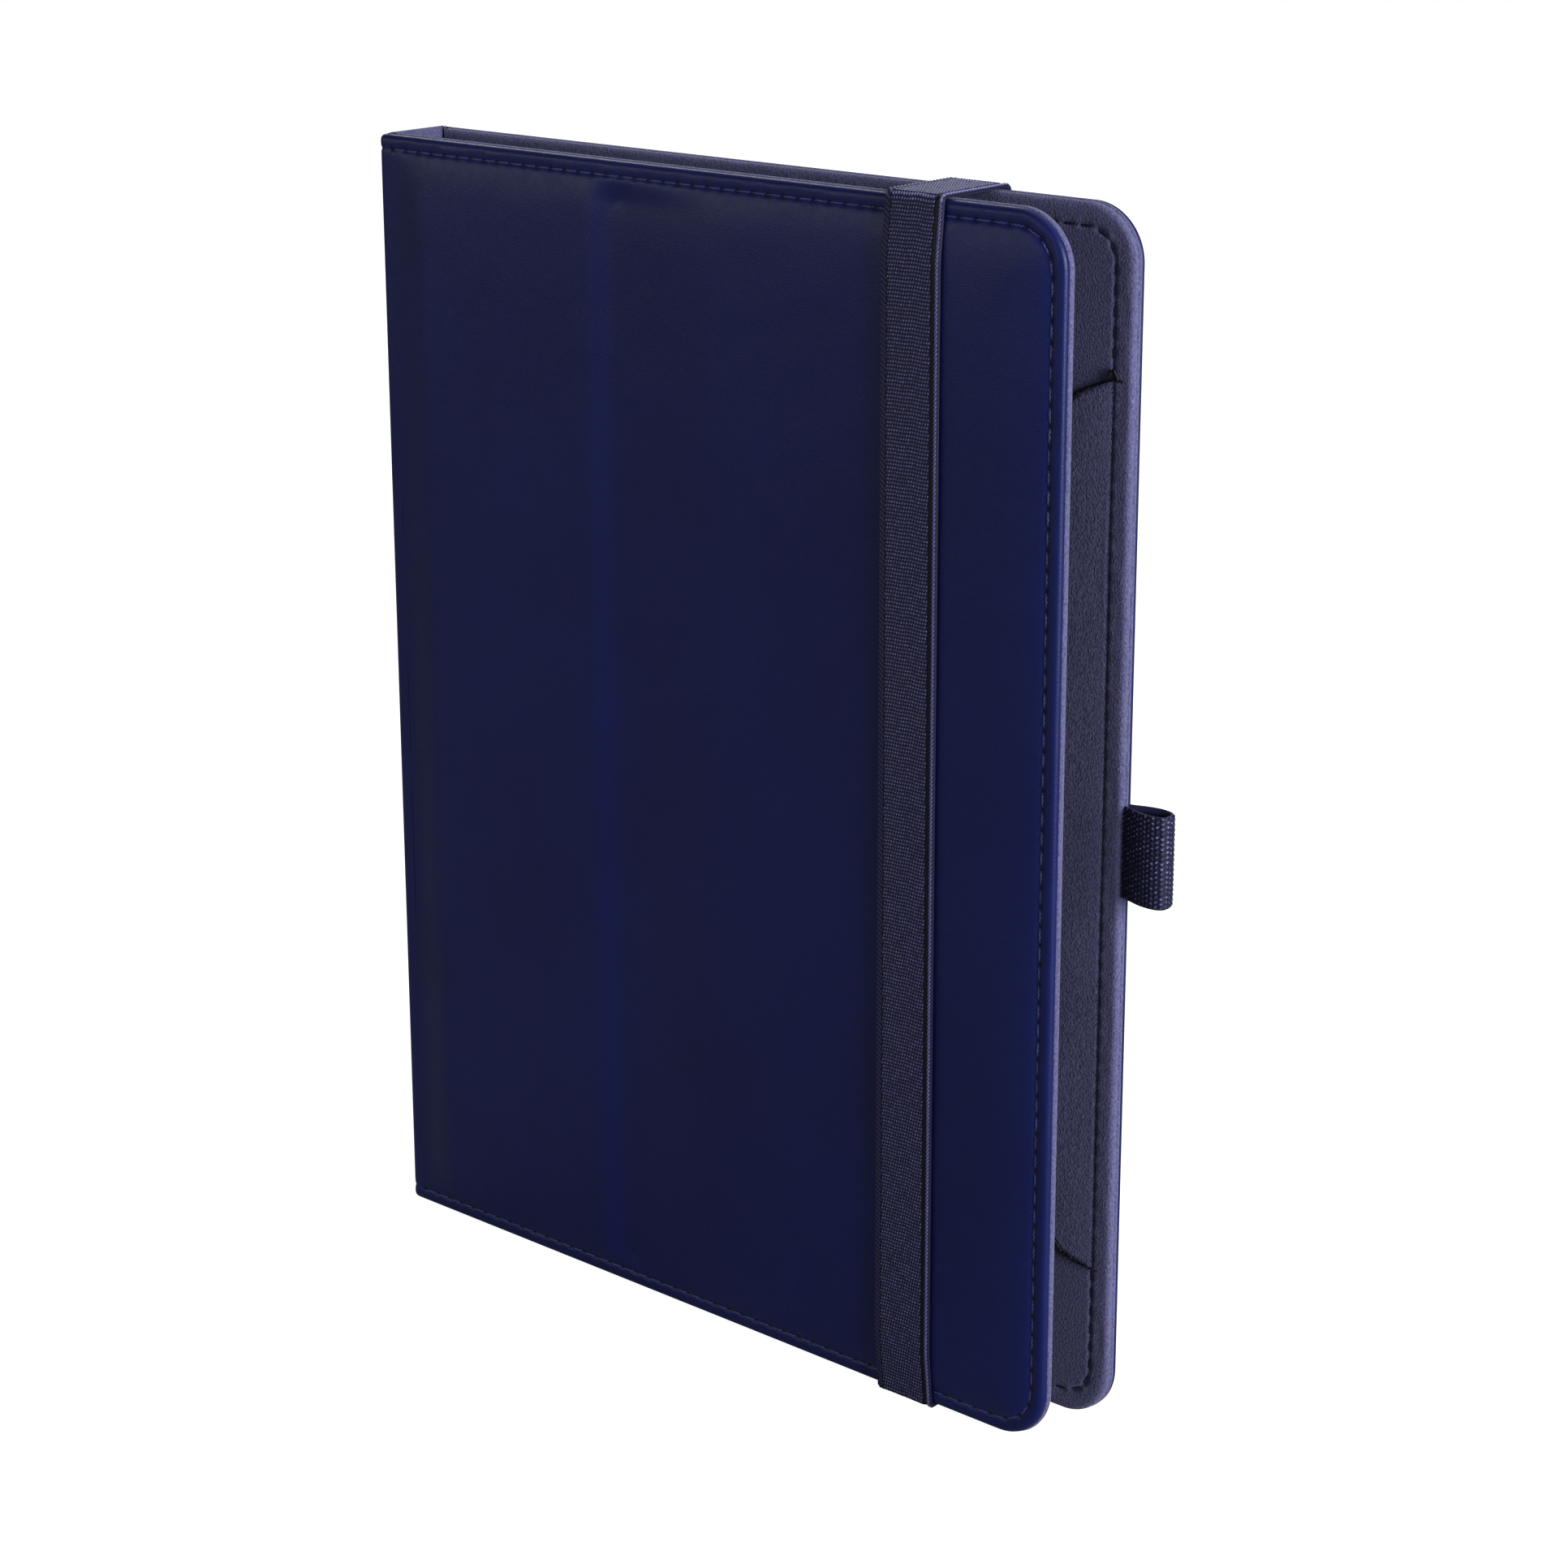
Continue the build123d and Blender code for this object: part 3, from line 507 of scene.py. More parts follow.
def ribbon(name, centre, across, normal, thickness, relief, columns):
    """A woven ribbon, made lighter over the upper edge by a painted highlight."""
    grid, tone = ribbon_grid(centre, across, normal, thickness, relief, columns)
    # Painted highlight: the tone is raised where the ribbon runs over the upper edge.
    top_highlight = np.clip((grid[..., 2] - HEIGHT + 0.4) / 0.5, 0, 1)
    obj = join_tubes(name, [grid])
    tone_attribute(obj, [tone * (1 + 0.45 * top_highlight) + 0.06 * top_highlight * (tone > 0)])
    return obj


def resample(points, step):
    """Evenly spaced points along a polyline."""
    points = np.asarray(points, float)
    lengths = np.concatenate([[0], np.cumsum(np.linalg.norm(np.diff(points, axis=0), axis=1))])
    count = max(2, int(round(lengths[-1] / step)) + 1)
    at = np.linspace(0, lengths[-1], count)
    return np.stack([np.interp(at, lengths, points[:, k]) for k in range(points.shape[1])], -1)


def rounded_path(corners, radius, step):
    """Polyline through the corners with each inner corner replaced by an arc, evenly resampled."""
    corners = [np.array(c, float) for c in corners]
    out = [corners[0]]
    for before, here, after in zip(corners, corners[1:], corners[2:]):
        a, b = before - here, after - here
        r = min(radius, 0.45 * np.linalg.norm(a), 0.45 * np.linalg.norm(b))
        start, end = here + a / np.linalg.norm(a) * r, here + b / np.linalg.norm(b) * r
        for t in np.linspace(0, 1, 8):
            out.append((1 - t) ** 2 * start + 2 * t * (1 - t) * here + t * t * end)
    out.append(corners[-1])
    return resample(out, step)


def path_normals(points, left):
    """Normals in the path's own plane, 90 degrees to the left or right of its direction."""
    tangent = np.gradient(points, axis=0)
    tangent /= np.linalg.norm(tangent, axis=1)[:, None]
    sign = 1 if left else -1
    return np.stack([-tangent[:, 1] * sign, tangent[:, 0] * sign], -1)


def scatter(row, column, seed, low, high):
    """A repeatable uneven value for each stitch of a woven pattern."""
    table = np.random.default_rng(seed).uniform(low, high, (97, 53))
    return table[row.astype(int) % 97, column.astype(int) % 53]


def strap_relief(s, u):
    """Rows of beads, a braided left selvedge, a groove and a fine cord at the right, with a tone that paints
    highlights on the raised threads and shade in the hollows and the groove.
    """
    across = (u + 1) * STRAP_HALF
    along = s + 0.05 * np.sin(across * 1.3) + 0.08 * np.sin(across * 0.45 + 1)
    row = np.floor(along / RIB_PITCH)
    ridge = np.abs(np.sin(math.pi * along / RIB_PITCH))
    bead_at = across / BEAD_PITCH + 0.5 * (row % 2) + 0.25 * along / RIB_PITCH
    bead = np.abs(np.cos(math.pi * bead_at))
    uneven = scatter(row, np.round(bead_at), 5, 0.7, 1.0)
    body = 0.26 * ridge ** 0.8 * (0.4 + 0.6 * bead ** 0.7 * uneven) - 0.1
    braid = np.abs(np.sin(math.pi * (s / 1.15 + across / 1.3)))
    twist = np.abs(np.sin(math.pi * (s / 0.9 - across / 0.5)))
    in_beads = (across >= BEADS_START) & (across < BEADS_END)
    in_edge_cord = (across > EDGE_CORD_START) & (across < EDGE_CORD_END)
    zones = [across < SELVEDGE_END, in_beads, in_edge_cord]
    height = np.select(zones, [0.24 * braid - 0.06, body, 0.02 + 0.14 * twist], -0.2)
    # Painted light: the tone is light on the bead tops, braid and cord ridges as painted highlights, and dark
    # in the rows' hollows and the groove as painted shade. It is zero along the outermost edges.
    beads = 0.03 + 0.1 * ridge ** 2 + 0.95 * ridge ** 1.8 * bead ** 1.8 * uneven
    tone = np.select(zones, [0.05 + 0.4 * braid ** 3, beads, 0.2 + 0.7 * twist ** 1.5], 0.0)
    return height, tone * (np.abs(u) < 0.985)


def closing_strap():
    """Elastic from the lower slot on the back, round the lower edge, up the front and over the upper edge
    to the upper slot."""
    outer_y = FRONT_Y - FRONT_CROWN - STRAP_THICKNESS / 2 + 0.08
    edge_y = outer_y + FRONT_CROWN - 0.05
    back_y = STRAP_THICKNESS / 2 + 0.02
    slot_y = -1.6
    top_z = HEIGHT + STRAP_THICKNESS / 2 + 0.05
    low_z = -STRAP_THICKNESS / 2 + 0.15
    corners = [
        (slot_y, SLOT_INSET), (back_y, SLOT_INSET), (back_y, low_z), (edge_y, low_z),
        (edge_y - 0.15, low_z + 3), (outer_y, low_z + 13), (outer_y, top_z - 13), (edge_y - 0.15, top_z - 3),
        (edge_y, top_z), (back_y, top_z), (back_y, HEIGHT - SLOT_INSET), (slot_y, HEIGHT - SLOT_INSET),
    ]
    path = rounded_path(corners, 1.5, RIBBON_STEP)
    zeros = np.zeros((len(path), 1))
    centre = np.hstack([zeros + STRAP_X, path])
    across = np.hstack([zeros + STRAP_HALF, zeros, zeros])
    normal = np.hstack([zeros, path_normals(path, left=True)])
    return ribbon("closing_strap", centre, across, normal, STRAP_THICKNESS, strap_relief, 90)


def webbing_relief(s, u):
    """Slanted stitches of a knitted tape in columns across it, with a tone that paints highlights on the
    stitch ridges and shade between them.
    """
    across = (u + 1) * LOOP_HALF
    column = np.floor(s / LOOP_COLUMN)
    inside = s / LOOP_COLUMN - column
    ridge = np.sin(math.pi * inside)
    slant = np.where(column % 2 > 0, inside, -inside)
    stitch_at = across / LOOP_STITCH + 0.35 * slant
    tick = np.abs(np.sin(math.pi * stitch_at))
    uneven = scatter(column + 0 * u, np.floor(stitch_at), 9, 0.4, 1.0)
    # Painted light: the tone is light on the stitch ridges as painted highlights and dark between them as
    # painted shade.
    return 0.3 * ridge ** 0.8 * (0.35 + 0.65 * tick) - 0.12, 0.06 + 0.9 * ridge ** 1.5 * tick ** 4 * uneven


def pen_loop_webbing():
    """Flattened loop that comes out of the rear cover's edge and goes back in."""
    reach = LOOP_HIGH[0] - REAR_WIDTH
    outline = [
        (-6, -0.55), (-0.3, -0.6), (2.2, -1.5), (5.5, -2.6), (8.6, -2.75), (reach - 0.7, -2.0),
        (reach - 0.45, 0.2), (reach - 1.2, 1.9), (7.2, 2.7), (3.6, 2.1), (-0.2, 0.6), (-6, 0.55),
    ]
    mid_y, mid_z = (LOOP_LOW[1:] + LOOP_HIGH[1:]) / 2
    path = rounded_path(np.array(outline) + (REAR_WIDTH, mid_y), 2.5, RIBBON_STEP)
    zeros = np.zeros((len(path), 1))
    centre = np.hstack([path, zeros + mid_z])
    across = np.hstack([zeros, zeros, zeros + LOOP_HALF])
    normal = np.hstack([path_normals(path, left=False), zeros])
    return ribbon("pen_loop_webbing", centre, across, normal, LOOP_THICKNESS, webbing_relief, 112)


strap = closing_strap()
pen_loop = pen_loop_webbing()


def loft(stations, steps):
    """Centre, half-width and normal along a band, evenly between (centre, half, normal) stations."""
    stations = [tuple(np.array(part, float) for part in station) for station in stations]
    centre, half, normal = [], [], []
    for (c0, h0, n0), (c1, h1, n1), count in zip(stations, stations[1:], steps):
        for t in np.linspace(0, 1, count, endpoint=False):
            centre.append(c0 + (c1 - c0) * t)
            half.append(h0 + (h1 - h0) * t)
            n = n0 + (n1 - n0) * t
            normal.append(n / np.linalg.norm(n))
    centre.append(stations[-1][0])
    half.append(stations[-1][1])
    normal.append(stations[-1][2])
    return np.array(centre), np.array(half), np.array(normal)


def band_relief(s, u):
    """Fine ribs across a narrow elastic, with plain edges; the tone paints highlights on the ribs and shade
    between them.
    """
    ridge = np.abs(np.sin(math.pi * s / 0.9))
    inner = np.abs(u) < 0.88
    # Painted light: the tone is light on the rib tops as painted highlights and dark between them as painted
    # shade.
    return np.where(inner, 0.12 * ridge - 0.04, 0.06), np.where(inner, 0.1 + 0.5 * ridge ** 2, 0.35) + 0 * s


def mirrored(grid):
    """The same grid at the other end of the case, its faces still outwards."""
    other = grid[:, ::-1].copy()
    other[..., 2] = HEIGHT - other[..., 2]
    return other


def pair(name, centre, half, normal, thickness, relief, columns=40):
    """One ribbon at the upper end of the case and its mirror image at the lower end, as one piece."""
    grid, tone = ribbon_grid(centre, half, normal, thickness, relief, columns)
    obj = join_tubes(name, [grid, mirrored(grid)], caps=True)
    tone_attribute(obj, [tone, tone[:, ::-1]])
    return obj


band_high = mm_box("corner_bands")[1]
edge_x = band_high[0] - BAND_THICKNESS / 2
edge_z = band_high[2] - BAND_THICKNESS / 2
band_y = band_high[1] - BAND_THICKNESS / 2
middle, half_band = (BAND_NEAR + BAND_FAR) / 2, (BAND_FAR - BAND_NEAR) / 2
band = pair("corner_bands_woven", *loft([
    ((edge_x - middle, FRONT_INNER_Y, edge_z), (half_band, 0, 0), (0, 0, 1)),
    ((edge_x - middle, band_y - BEND_RADIUS, edge_z), (half_band, 0, 0), (0, 0, 1)),
    ((edge_x - middle, band_y, edge_z - BEND_RADIUS), (half_band, 0, 0), (0, 1, 0)),
    ((edge_x - BEND_RADIUS, band_y, edge_z - middle), (0, 0, half_band), (0, 1, 0)),
    ((edge_x, band_y - BEND_RADIUS, edge_z - middle), (0, 0, half_band), (1, 0, 0)),
    ((edge_x, FRONT_INNER_Y, edge_z - middle), (0, 0, half_band), (1, 0, 0)),
], steps=(30, 6, 180, 6, 30)), BAND_THICKNESS * 0.8, band_relief)

clip_low, clip_high = mm_box("edge_clips")
clip_x = (clip_low[0] + clip_high[0]) / 2
clip_half = (clip_high[0] - clip_low[0]) / 2
clip_z = clip_high[2] - CLIP_THICKNESS / 2
clip_y = clip_high[1] - BAND_THICKNESS / 2


def clip_relief(s, u):
    """Padded cloth hook with a sewn line near its edges."""
    sewn = bump(np.abs(u), 0.8, 0.05) * (0.6 + 0.4 * np.abs(np.sin(math.pi * s / 2.1)))
    return 0.22 * (1 - u ** 4) - 0.2 * sewn + 0 * s, 0.3 + 0 * s * u


clips = pair("edge_clips_lined", *loft([
    ((clip_x, FRONT_INNER_Y, clip_z), (clip_half, 0, 0), (0, 0, 1)),
    ((clip_x, clip_y - BEND_RADIUS, clip_z), (clip_half, 0, 0), (0, 0, 1)),
    ((clip_x, clip_y, clip_z - BEND_RADIUS), (clip_half, 0, 0), (0, 1, 0)),
    ((clip_x, clip_y, clip_z - CLIP_LIP - 0.3), (clip_half, 0, 0), (0, 1, 0)),
], steps=(30, 6, 20)), BAND_THICKNESS, clip_relief)


# ---------------------------------------------------------------- stitching
def stitching(name, stitches, face_y, inward, depth_at, span, radius=THREAD_RADIUS, sink=0.5):
    """One twisted thread segment from each stitch hole to the next, dipping in, with painted shade darkening
    both ends at the holes and painted highlights on the twist's ridges.
    span is the share of the way between two holes that it covers."""
    grids, tones = [], []
    around = np.linspace(0, 2 * math.pi, 10, endpoint=False)
    for a, b in zip(stitches, stitches[1:]):
        length = np.linalg.norm(b - a)
        t = np.linspace((1 - span) / 2, (1 + span) / 2, 24)
        from_middle = np.abs(2 * t - 1) / span
        flat = a + (b - a) * t[:, None]
        direction = (b - a) / length
        side = np.array([-direction[1], direction[0]])
        depth = depth_at - 0.1 + sink * from_middle ** 3
        twist = 1 + 0.24 * np.cos(2 * around[None, :] - 2 * math.pi * (t * length)[:, None] / 1.1)
        taper = np.sqrt(np.clip(1 - from_middle ** 8, 0.15, 1))
        r = radius * twist * taper[:, None]
        offset_side = np.cos(around)[None, :] * r
        offset_up = np.sin(around)[None, :] * r
        x = flat[:, 0][:, None] + side[0] * offset_side
        z = flat[:, 1][:, None] + side[1] * offset_side
        y = face_y + inward * (depth[:, None] - offset_up)
        grids.append(np.stack([x, np.broadcast_to(y, x.shape), z], -1))
        # Painted shade: the tone falls toward both ends, where the thread goes into its holes. Painted
        # highlight: it rises with the twist's ridges.
        tones.append(np.clip(1.25 - 1.5 * from_middle ** 2, 0, 1)[:, None] * np.clip(twist, 0.8, 1.2))
    obj = join_tubes(name, grids, caps=True)
    tone_attribute(obj, tones)
    return obj


front_thread = stitching("front_cover_stitching", front_stitches, FRONT_Y, 1, depth_at=0.34, span=1.0)
rear_thread = stitching("rear_lining_stitching", rear_stitches, REAR_INNER_Y, 1, depth_at=0.42, span=0.86,
                        radius=0.24)
back_thread = stitching("back_cover_stitching", back_stitches, 0, -1, depth_at=0.42, span=1.0)


# ---------------------------------------------------------------- flap, its seams and the ridges
flap_low, flap_high = mm_box("keyboard_flap")


def flap_sheet(name):
    """Cloth flap, sewn in along the stitch line at the right and open at the left."""
    lower = [(0, 6.5), (4.0, 2.2), (8.0, 1.0), (12.5, 0.0)]
    upper = [(0, -6.5), (4.0, -3.4), (8.0, -1.4), (12.5, 0.2)]
    rim = np.array([0, 0.05, 0.25, 0.6])
    width, length = FLAP_SEWN_X - flap_low[0], FLAP_ROWS_LENGTH
    across = np.concatenate([rim, np.linspace(1.2, width, 26)])
    along = np.concatenate([rim, np.linspace(1.2, length - 1.2, 210), length - rim[::-1]])
    a, b = np.meshgrid(across, along / length, indexing="ij")
    low = flap_low[2] + np.interp(a, *np.array(lower).T)
    high = flap_high[2] + np.interp(a, *np.array(upper).T)
    z = low + (high - low) * b
    free_edges = (a, z - low, high - z)
    rise = np.prod([np.clip(edge / rim[-1], 0, 1) for edge in free_edges], axis=0)
    rise = np.sqrt(rise) * np.clip((width - a) / width, 0, 1) ** 0.5
    y = REAR_INNER_Y + FLAP_HEM - (FLAP_LIFT + FLAP_HEM) * rise - 0.05 * waves(a, z, 41, 20) * rise
    return grid_object(name, np.stack([flap_low[0] + a, y, z], -1))


flap = flap_sheet("keyboard_flap_soft")


def seam(name, points, radius, seed, around=9):
    """Fine thread laid unevenly through (x, height above the flap's hem, z) points."""
    path = resample([(x, REAR_INNER_Y - FLAP_HEM - lift, z) for x, lift, z in points], SEAM_STEP)
    rng = np.random.default_rng(seed)
    path = path + 0.09 * rng.uniform(-1, 1, path.shape)
    tangent = np.gradient(path, axis=0)
    tangent /= np.linalg.norm(tangent, axis=1)[:, None]
    side = np.cross(tangent, [0, 1, 0])
    side /= np.linalg.norm(side, axis=1)[:, None]
    up = np.cross(side, tangent)
    angle = np.linspace(0, 2 * math.pi, around, endpoint=False)[None, :, None]
    end = np.sin(np.linspace(0.08, math.pi - 0.08, len(path))) ** 0.25
    r = radius * end[:, None, None] * (1 + 0.25 * rng.uniform(-1, 1, (len(path), 1, 1)))
    grid = path[:, None] + r * (np.cos(angle) * side[:, None] + np.sin(angle) * up[:, None])
    obj = join_tubes(name, [grid], caps=True)
    tone_attribute(obj, [np.full(grid.shape[:2], 0.3)])
    return obj


upper_seam = seam("flap_upper_seam", [
    (flap_low[0] + 0.5, 0.1, flap_high[2] - 6), (flap_low[0] + 4, 0.2, flap_high[2] - 3.1),
    (flap_low[0] + 8, 0.2, flap_high[2] - 1.1), (flap_high[0] - 0.4, 0, flap_high[2] + 0.4),
    (flap_high[0] + 1.9, 0, flap_high[2] + 0.2),
], radius=0.3, seed=3)
lower_seam = seam("flap_lower_seam", [
    (flap_low[0] + 0.5, 0.1, flap_low[2] + 6), (flap_low[0] + 4, 0.2, flap_low[2] + 2),
    (flap_low[0] + 8, 0.2, flap_low[2] + 0.9), (flap_high[0] + 0.8, 0, flap_low[2]),
], radius=0.28, seed=4)
knot = seam("flap_seam_knot", [
    (flap_high[0] - 1.6, 0.15, flap_high[2] - 0.1), (flap_high[0] - 1.4, 0.35, flap_high[2] + 1.9),
    (flap_high[0] - 0.2, 0.35, flap_high[2] + 2.5), (flap_high[0] + 0.7, 0.2, flap_high[2] + 0.4),
], radius=0.3, seed=5)


def soft_ridge(name, low, high):
    """Closed cloth-covered bar that fills a box, with rounded edges."""
    outline = ((low[0], low[2]), (high[0], low[2]), (high[0], high[2]), (low[0], high[2]))
    vertices = [(x, y, z) for y in (low[1], high[1]) for x, z in outline]
    sides = [[i, (i + 1) % 4, (i + 1) % 4 + 4, i + 4] for i in range(4)]
    ridge = new_object(name, place(vertices), [[3, 2, 1, 0], [4, 5, 6, 7], *sides])
    bevel = ridge.modifiers.new("bevel", "BEVEL")
    bevel.width = RIDGE_ROUNDING * MM
    bevel.segments = 6
    bevel.limit_method = "ANGLE"
    bevel.angle_limit = math.radians(20)
    bpy.context.view_layer.update()
    solved = ridge.evaluated_get(bpy.context.evaluated_depsgraph_get())
    ridge.data = bpy.data.meshes.new_from_object(solved)
    ridge.modifiers.clear()
    mesh = bmesh.new()
    mesh.from_mesh(ridge.data)
    bmesh.ops.recalc_face_normals(mesh, faces=mesh.faces)
    mesh.to_mesh(ridge.data)
    mesh.free()
    ridge.data.shade_smooth()
    return ridge


ridge_low, ridge_high = mm_box("stand_rails")
ridges = []
for number, x in enumerate((ridge_low[0], ridge_high[0] - RIDGE_WIDTH), start=1):
    ridges.append(soft_ridge(f"stand_rail_{number}", (x, *ridge_low[1:]), (x + RIDGE_WIDTH, *ridge_high[1:])))

# ---------------------------------------------------------------- riding
for piece, body, node in (
    (rear_skin, "rear_cover", "rear_skin"),
    (rear_lining, "rear_cover", "rear_lining"),
    (spine_skin, "spine", "spine_skin"),
    (spine_lining, "spine", "spine_lining"),
    (pen_loop, "rear_cover", "pen_loop"),
    (flap, "rear_cover", "keyboard_flap"),
    (ridges[0], "rear_cover", "stand_rails"),
    (band, "front_outer", "corner_bands"),
    (clips, "front_outer", "edge_clips"),
):
    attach(piece, body)
    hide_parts(node)
for piece in (rear_thread, back_thread, ridges[1], upper_seam, lower_seam, knot):
    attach(piece, "rear_cover")


for piece in (front_skin, front_thread, front_lining):
    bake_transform(piece)
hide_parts("front_inner_skin", "crease_skin", "front_outer_skin")
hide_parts("front_inner_lining", "crease_lining", "front_outer_lining")

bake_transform(front_fold)
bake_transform(front_fold_lining)
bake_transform(rear_fold)
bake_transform(rear_fold_lining)
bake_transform(strap)
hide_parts("front_fold_skin")
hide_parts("front_fold_lining")
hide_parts("rear_fold_skin")
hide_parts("rear_fold_lining")
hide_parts("strap_front_run", "strap_top_return", "strap_bottom_return", "strap_back_ends")


# ---------------------------------------------------------------- materials
def srgb(r, g, b):
    """0-255 screen colour to linear."""
    out = []
    for c in (r, g, b):
        c /= 255
        out.append(c / 12.92 if c <= 0.04045 else ((c + 0.055) / 1.055) ** 2.4)
    return (*out, 1.0)


class Nodes:
    """Small helper around one material's node tree."""

    def __init__(self, name, **settings):
        self.material = bpy.data.materials.new(name)
        self.material.use_nodes = True
        self.tree = self.material.node_tree
        self.shader = self.tree.nodes["Principled BSDF"]
        for key, value in settings.items():
            self.shader.inputs[key.replace("_", " ")].default_value = value
        self.coordinates = self.tree.nodes.new("ShaderNodeTexCoord").outputs["Object"]

    def add(self, kind, **inputs):
        node = self.tree.nodes.new(kind)
        for key, value in inputs.items():
            self.set(node, key.replace("_", " "), value)
        return node

    def set(self, node, key, value):
        """Sets an input, by name or number, to a value or to another node's output."""
        socket = node.inputs[key] if not key.isdigit() else node.inputs[int(key)]
        if isinstance(value, bpy.types.NodeSocket):
            self.tree.links.new(value, socket)
        else:
            socket.default_value = value

    def scaled(self, scale, rotation):
        node = self.add("ShaderNodeMapping", Vector=self.coordinates)
        node.inputs["Scale"].default_value = scale
        node.inputs["Rotation"].default_value = rotation
        return node.outputs["Vector"]

    def noise(self, scale, detail=3.0, roughness=0.55, vector=None):
        node = self.add("ShaderNodeTexNoise", Vector=vector or self.coordinates, Scale=scale, Detail=detail,
                        Roughness=roughness)
        return node.outputs["Fac"]

    def cells(self, scale):
        """Distance from the edges of small cells, for a pored grain."""
        node = self.add("ShaderNodeTexVoronoi", Vector=self.coordinates, Scale=scale)
        node.feature = "DISTANCE_TO_EDGE"
        return node.outputs["Distance"]

    def ramp(self, factor, stops):
        node = self.add("ShaderNodeValToRGB", Fac=factor)
        ramp = node.color_ramp
        while len(ramp.elements) < len(stops):
            ramp.elements.new(0.5)
        for element, (position, colour) in zip(ramp.elements, stops):
            element.position = position
            element.color = colour
        return node.outputs["Color"]

    def math(self, operation, a, b=0.0):
        node = self.tree.nodes.new("ShaderNodeMath")
        node.operation = operation
        self.set(node, "0", a)
        self.set(node, "1", b)
        return node.outputs[0]

    def bump(self, height, strength, distance):
        """Adds a bump in front of any earlier one."""
        node = self.add("ShaderNodeBump", Height=height, Strength=strength, Distance=distance)
        current = self.shader.inputs["Normal"]
        if current.is_linked:
            self.tree.links.new(current.links[0].from_socket, node.inputs["Normal"])
        self.tree.links.new(node.outputs["Normal"], current)

    def colour(self, value):
        self.set(self.shader, "Base Color", value)

    def roughness(self, value):
        self.set(self.shader, "Roughness", value)


def leather(name, dark, light, rough):
    """Smooth coated skin with a very fine grain."""
    m = Nodes(name, Specular_IOR_Level=0.15)
    grain = m.cells(1500)
    fine = m.noise(2600, 3)
    patches = m.noise(22, 3)
    m.colour(m.ramp(patches, [(0.25, dark), (0.75, light)]))
    m.roughness(m.math("ADD", m.math("MULTIPLY", m.noise(420, 2), 0.16), rough - 0.08))
    m.bump(grain, 0.16, 0.00025)
    m.bump(fine, 0.10, 0.0002)
    m.bump(m.noise(160, 2), 0.10, 0.0006)
    return m.material


def suede(name, dark, light):
    """Short brushed pile, lit softly at its edges."""
    m = Nodes(name, Roughness=0.95, Specular_IOR_Level=0.12, Sheen_Weight=0.35, Sheen_Roughness=0.45)
    m.shader.inputs["Sheen Tint"].default_value = srgb(180, 180, 202)
    brushed = m.scaled((1, 1, 0.7), (0, 0.6, 0))
    nap = m.noise(2300, 2, 0.55, brushed)
    shade = m.math("ADD", m.math("MULTIPLY", nap, 0.85), m.math("MULTIPLY", m.noise(45, 2), 0.15))
    m.colour(m.ramp(shade, [(0.3, dark), (0.7, light)]))
    m.bump(nap, 0.6, 0.0004)
    m.bump(m.noise(4200, 2), 0.3, 0.00012)
    return m.material


def woven(name, dark, middle, light, rough=0.42, specular=0.16):
    """Thread colour from the mesh's tone, which holds painted highlights and shade, broken up by fine
    strands.
    """
    m = Nodes(name, Specular_IOR_Level=specular, Sheen_Weight=0.03, Sheen_Roughness=0.4)
    tone = m.tree.nodes.new("ShaderNodeAttribute")
    tone.attribute_name = "tone"
    strands = m.noise(4200, 2, 0.6)
    broken = m.math("MULTIPLY", tone.outputs["Fac"], m.math("ADD", strands, 0.5))
    m.colour(m.ramp(broken, [(0.05, dark), (0.45, middle), (0.95, light)]))
    m.roughness(m.math("ADD", m.math("MULTIPLY", strands, 0.2), rough))
    m.bump(strands, 0.3, 0.00008)
    return m.material


def plastic(name, base, variation, rough, scale=900, strength=0.12, metallic=0.0):
    """Fine speckled surface for moulded, pressed and sheet parts."""
    m = Nodes(name, Metallic=metallic)
    speckle = m.noise(scale, 3)
    m.colour(m.ramp(m.noise(40, 3), [(0.3, base), (0.8, variation)]))
    m.roughness(m.math("ADD", m.math("MULTIPLY", speckle, 0.14), rough - 0.07))
    m.bump(speckle, strength, 0.0002)
    return m.material


navy = leather("navy leather", srgb(8, 15, 60), srgb(12, 20, 69), 0.4)
lining = suede("slate suede", srgb(52, 52, 81), srgb(87, 87, 123))
# The elastic, webbing and thread ramps run from painted shade in their dark stops to painted highlight in
# their light stops, following the tone.
elastic = woven("navy elastic", srgb(7, 7, 24), srgb(32, 33, 70), srgb(112, 112, 162))
webbing = woven("navy webbing", srgb(7, 8, 26), srgb(32, 34, 70), srgb(128, 130, 182))
thread = woven("navy thread", srgb(3, 3, 10), srgb(12, 17, 54), srgb(28, 35, 86), 0.3, 0.42)
dark_thread = woven("dark thread", srgb(3, 3, 8), srgb(10, 10, 20), srgb(24, 24, 42))
card = plastic("pressed board", srgb(46, 46, 52), srgb(64, 64, 70), 0.9, 500, 0.3)
case_plastic = plastic("black moulded plastic", srgb(18, 18, 21), srgb(25, 25, 29), 0.5)
key_plastic = plastic("black key plastic", srgb(34, 34, 38), srgb(42, 42, 47), 0.4, 1400, 0.1)
steel = plastic("sheet steel", srgb(150, 150, 154), srgb(176, 176, 180), 0.35, 700, 0.06, 1.0)
film = plastic("contact film", srgb(150, 156, 166), srgb(172, 178, 186), 0.3)
rubber = plastic("silicone", srgb(165, 165, 160), srgb(188, 188, 182), 0.6)
laminate = plastic("circuit laminate", srgb(14, 66, 34), srgb(20, 84, 44), 0.4)
foil = plastic("battery foil", srgb(160, 162, 166), srgb(182, 184, 188), 0.35, 300, 0.2, 0.8)
tape = plastic("fixing tape", srgb(24, 24, 24), srgb(36, 36, 36), 0.9)
lamp = plastic("lamp plastic", srgb(190, 205, 190), srgb(215, 225, 212), 0.25)

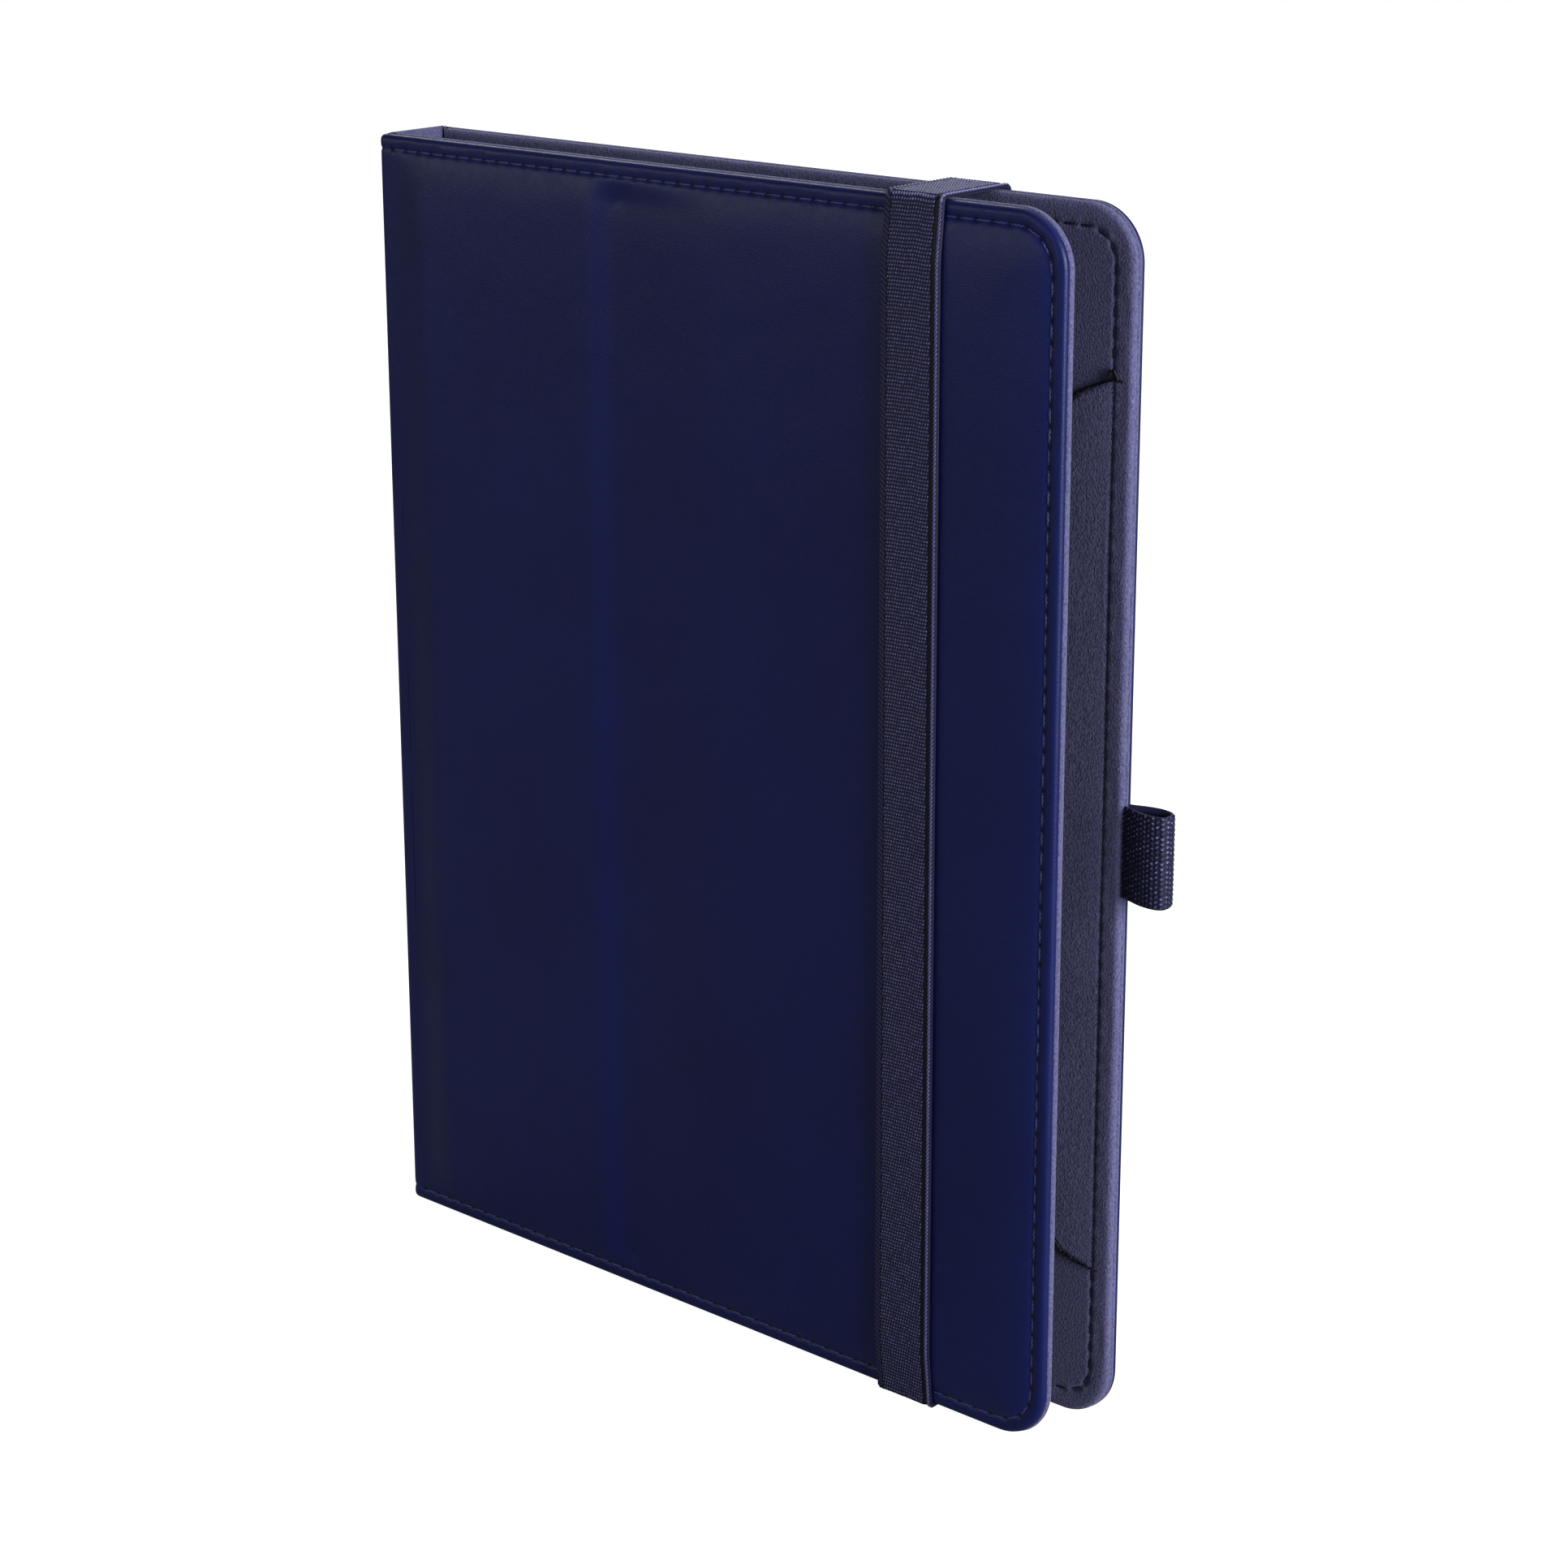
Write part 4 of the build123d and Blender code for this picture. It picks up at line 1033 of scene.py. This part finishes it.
SLOT_MATERIALS = {
    "navy_skin": navy, "suede": lining, "elastic": elastic, "webbing": webbing, "cover_board": card,
    "black_plastic": case_plastic, "key_plastic": key_plastic, "lamp_plastic": lamp, "steel": steel,
    "film": film, "dome_rubber": rubber, "circuit": laminate, "cell": foil, "tape": tape,
}


def finish_piece(obj, slot_name, material=None):
    """Gives a visual piece the named slot's material, or another material if one is named."""
    obj.data.materials.clear()
    obj.data.materials.append(material or SLOT_MATERIALS[slot_name])


for subpart in frame["record"]["subparts"]:
    node = frame["nodes"][subpart["node"]]
    for index in range(len(node.data.materials)):
        node.data.materials[index] = SLOT_MATERIALS[subpart["material_slot"]]

for obj in (front_skin, rear_skin, spine_skin, front_fold, rear_fold):
    finish_piece(obj, "navy_skin")
for obj in (front_lining, rear_lining, spine_lining, front_fold_lining, rear_fold_lining, flap, *ridges):
    finish_piece(obj, "suede")
finish_piece(strap, "elastic")
finish_piece(band, "elastic")
finish_piece(clips, "suede")
finish_piece(pen_loop, "webbing")
for obj in (front_thread, back_thread):
    finish_piece(obj, "elastic", thread)
for obj in (rear_thread, upper_seam, lower_seam, knot):
    finish_piece(obj, "elastic", dark_thread)

# ---------------------------------------------------------------- stage, light and camera
scene = bpy.context.scene
scene.view_settings.view_transform = "Standard"

floor_corners = np.array([(-1, -1, 0), (1, -1, 0), (1, 1, 0), (-1, 1, 0)]) * FLOOR_HALF
floor = new_object("floor", floor_corners, [[0, 1, 2, 3]])


def seen_by_camera(nodes, hidden, shown):
    """A strength that is one value for what the camera sees directly and another for all other light."""
    ray = nodes.new("ShaderNodeLightPath")
    strength = nodes.new("ShaderNodeMapRange")
    strength.inputs["To Min"].default_value = hidden
    strength.inputs["To Max"].default_value = shown
    nodes.id_data.links.new(ray.outputs["Is Camera Ray"], strength.inputs["Value"])
    return strength.outputs["Result"]


pale = Nodes("pale floor", Roughness=0.9, Specular_IOR_Level=0.1)
pale.colour(pale.ramp(pale.noise(20), [(0.3, srgb(150, 150, 152)), (0.7, srgb(156, 156, 157))]))
pale.shader.inputs["Emission Color"].default_value = (1, 1, 1, 1)
pale.set(pale.shader, "Emission Strength", seen_by_camera(pale.tree.nodes, 0.0, FLOOR_GLOW))
floor.data.materials.append(pale.material)

world = bpy.data.worlds.new("studio")
scene.world = world
world.use_nodes = True
background = world.node_tree.nodes["Background"]
background.inputs["Color"].default_value = (1, 1, 1, 1)
room_strength = seen_by_camera(world.node_tree.nodes, ROOM_LIGHT, 1.0)
world.node_tree.links.new(room_strength, background.inputs["Strength"])


def area_light(name, position, size, radiance):
    """A soft rectangular light aimed at the case, its power from the radiance it shows."""
    data = bpy.data.lights.new(name, "AREA")
    data.shape = "RECTANGLE"
    data.size, data.size_y = size
    data.energy = radiance * math.pi * size[0] * size[1]
    obj = bpy.data.objects.new(name, data)
    obj.location = position
    obj.rotation_euler = (Vector(CASE_CENTRE) - Vector(position)).to_track_quat("-Z", "Y").to_euler()
    scene.collection.objects.link(obj)


area_light("overhead", (0.1, 0.7, 1.9), size=(2.0, 2.0), radiance=1.2)
area_light("front left", (-0.6, -1.0, 0.42), size=(1.3, 0.3), radiance=3.4)
area_light("right side", (1.75, -0.2, 0.5), size=(0.6, 1.1), radiance=34)
area_light("back left", (-1.3, 1.2, 0.9), size=(0.8, 0.8), radiance=4)

yaw, pitch, roll = map(math.radians, (CAMERA_YAW, CAMERA_PITCH, CAMERA_ROLL))
camera_data = bpy.data.cameras.new("camera")
camera_data.sensor_width = 36
camera_data.lens = CAMERA_LENS
camera_data.shift_x, camera_data.shift_y = CAMERA_SHIFT
camera_data.clip_start = 0.01
camera_data.clip_end = 50
camera = bpy.data.objects.new("camera", camera_data)
back = Vector((math.sin(yaw) * math.cos(pitch), -math.cos(yaw) * math.cos(pitch), math.sin(pitch)))
right = Vector((0, 0, 1)).cross(back).normalized()
up = back.cross(right)
rolled_right = math.cos(roll) * right + math.sin(roll) * up
rolled_up = -math.sin(roll) * right + math.cos(roll) * up
rotation = Matrix((rolled_right, rolled_up, back)).transposed()
camera.matrix_world = Matrix.Translation(Vector(place(CAMERA_PLACE))) @ rotation.to_4x4()
scene.collection.objects.link(camera)
scene.camera = camera
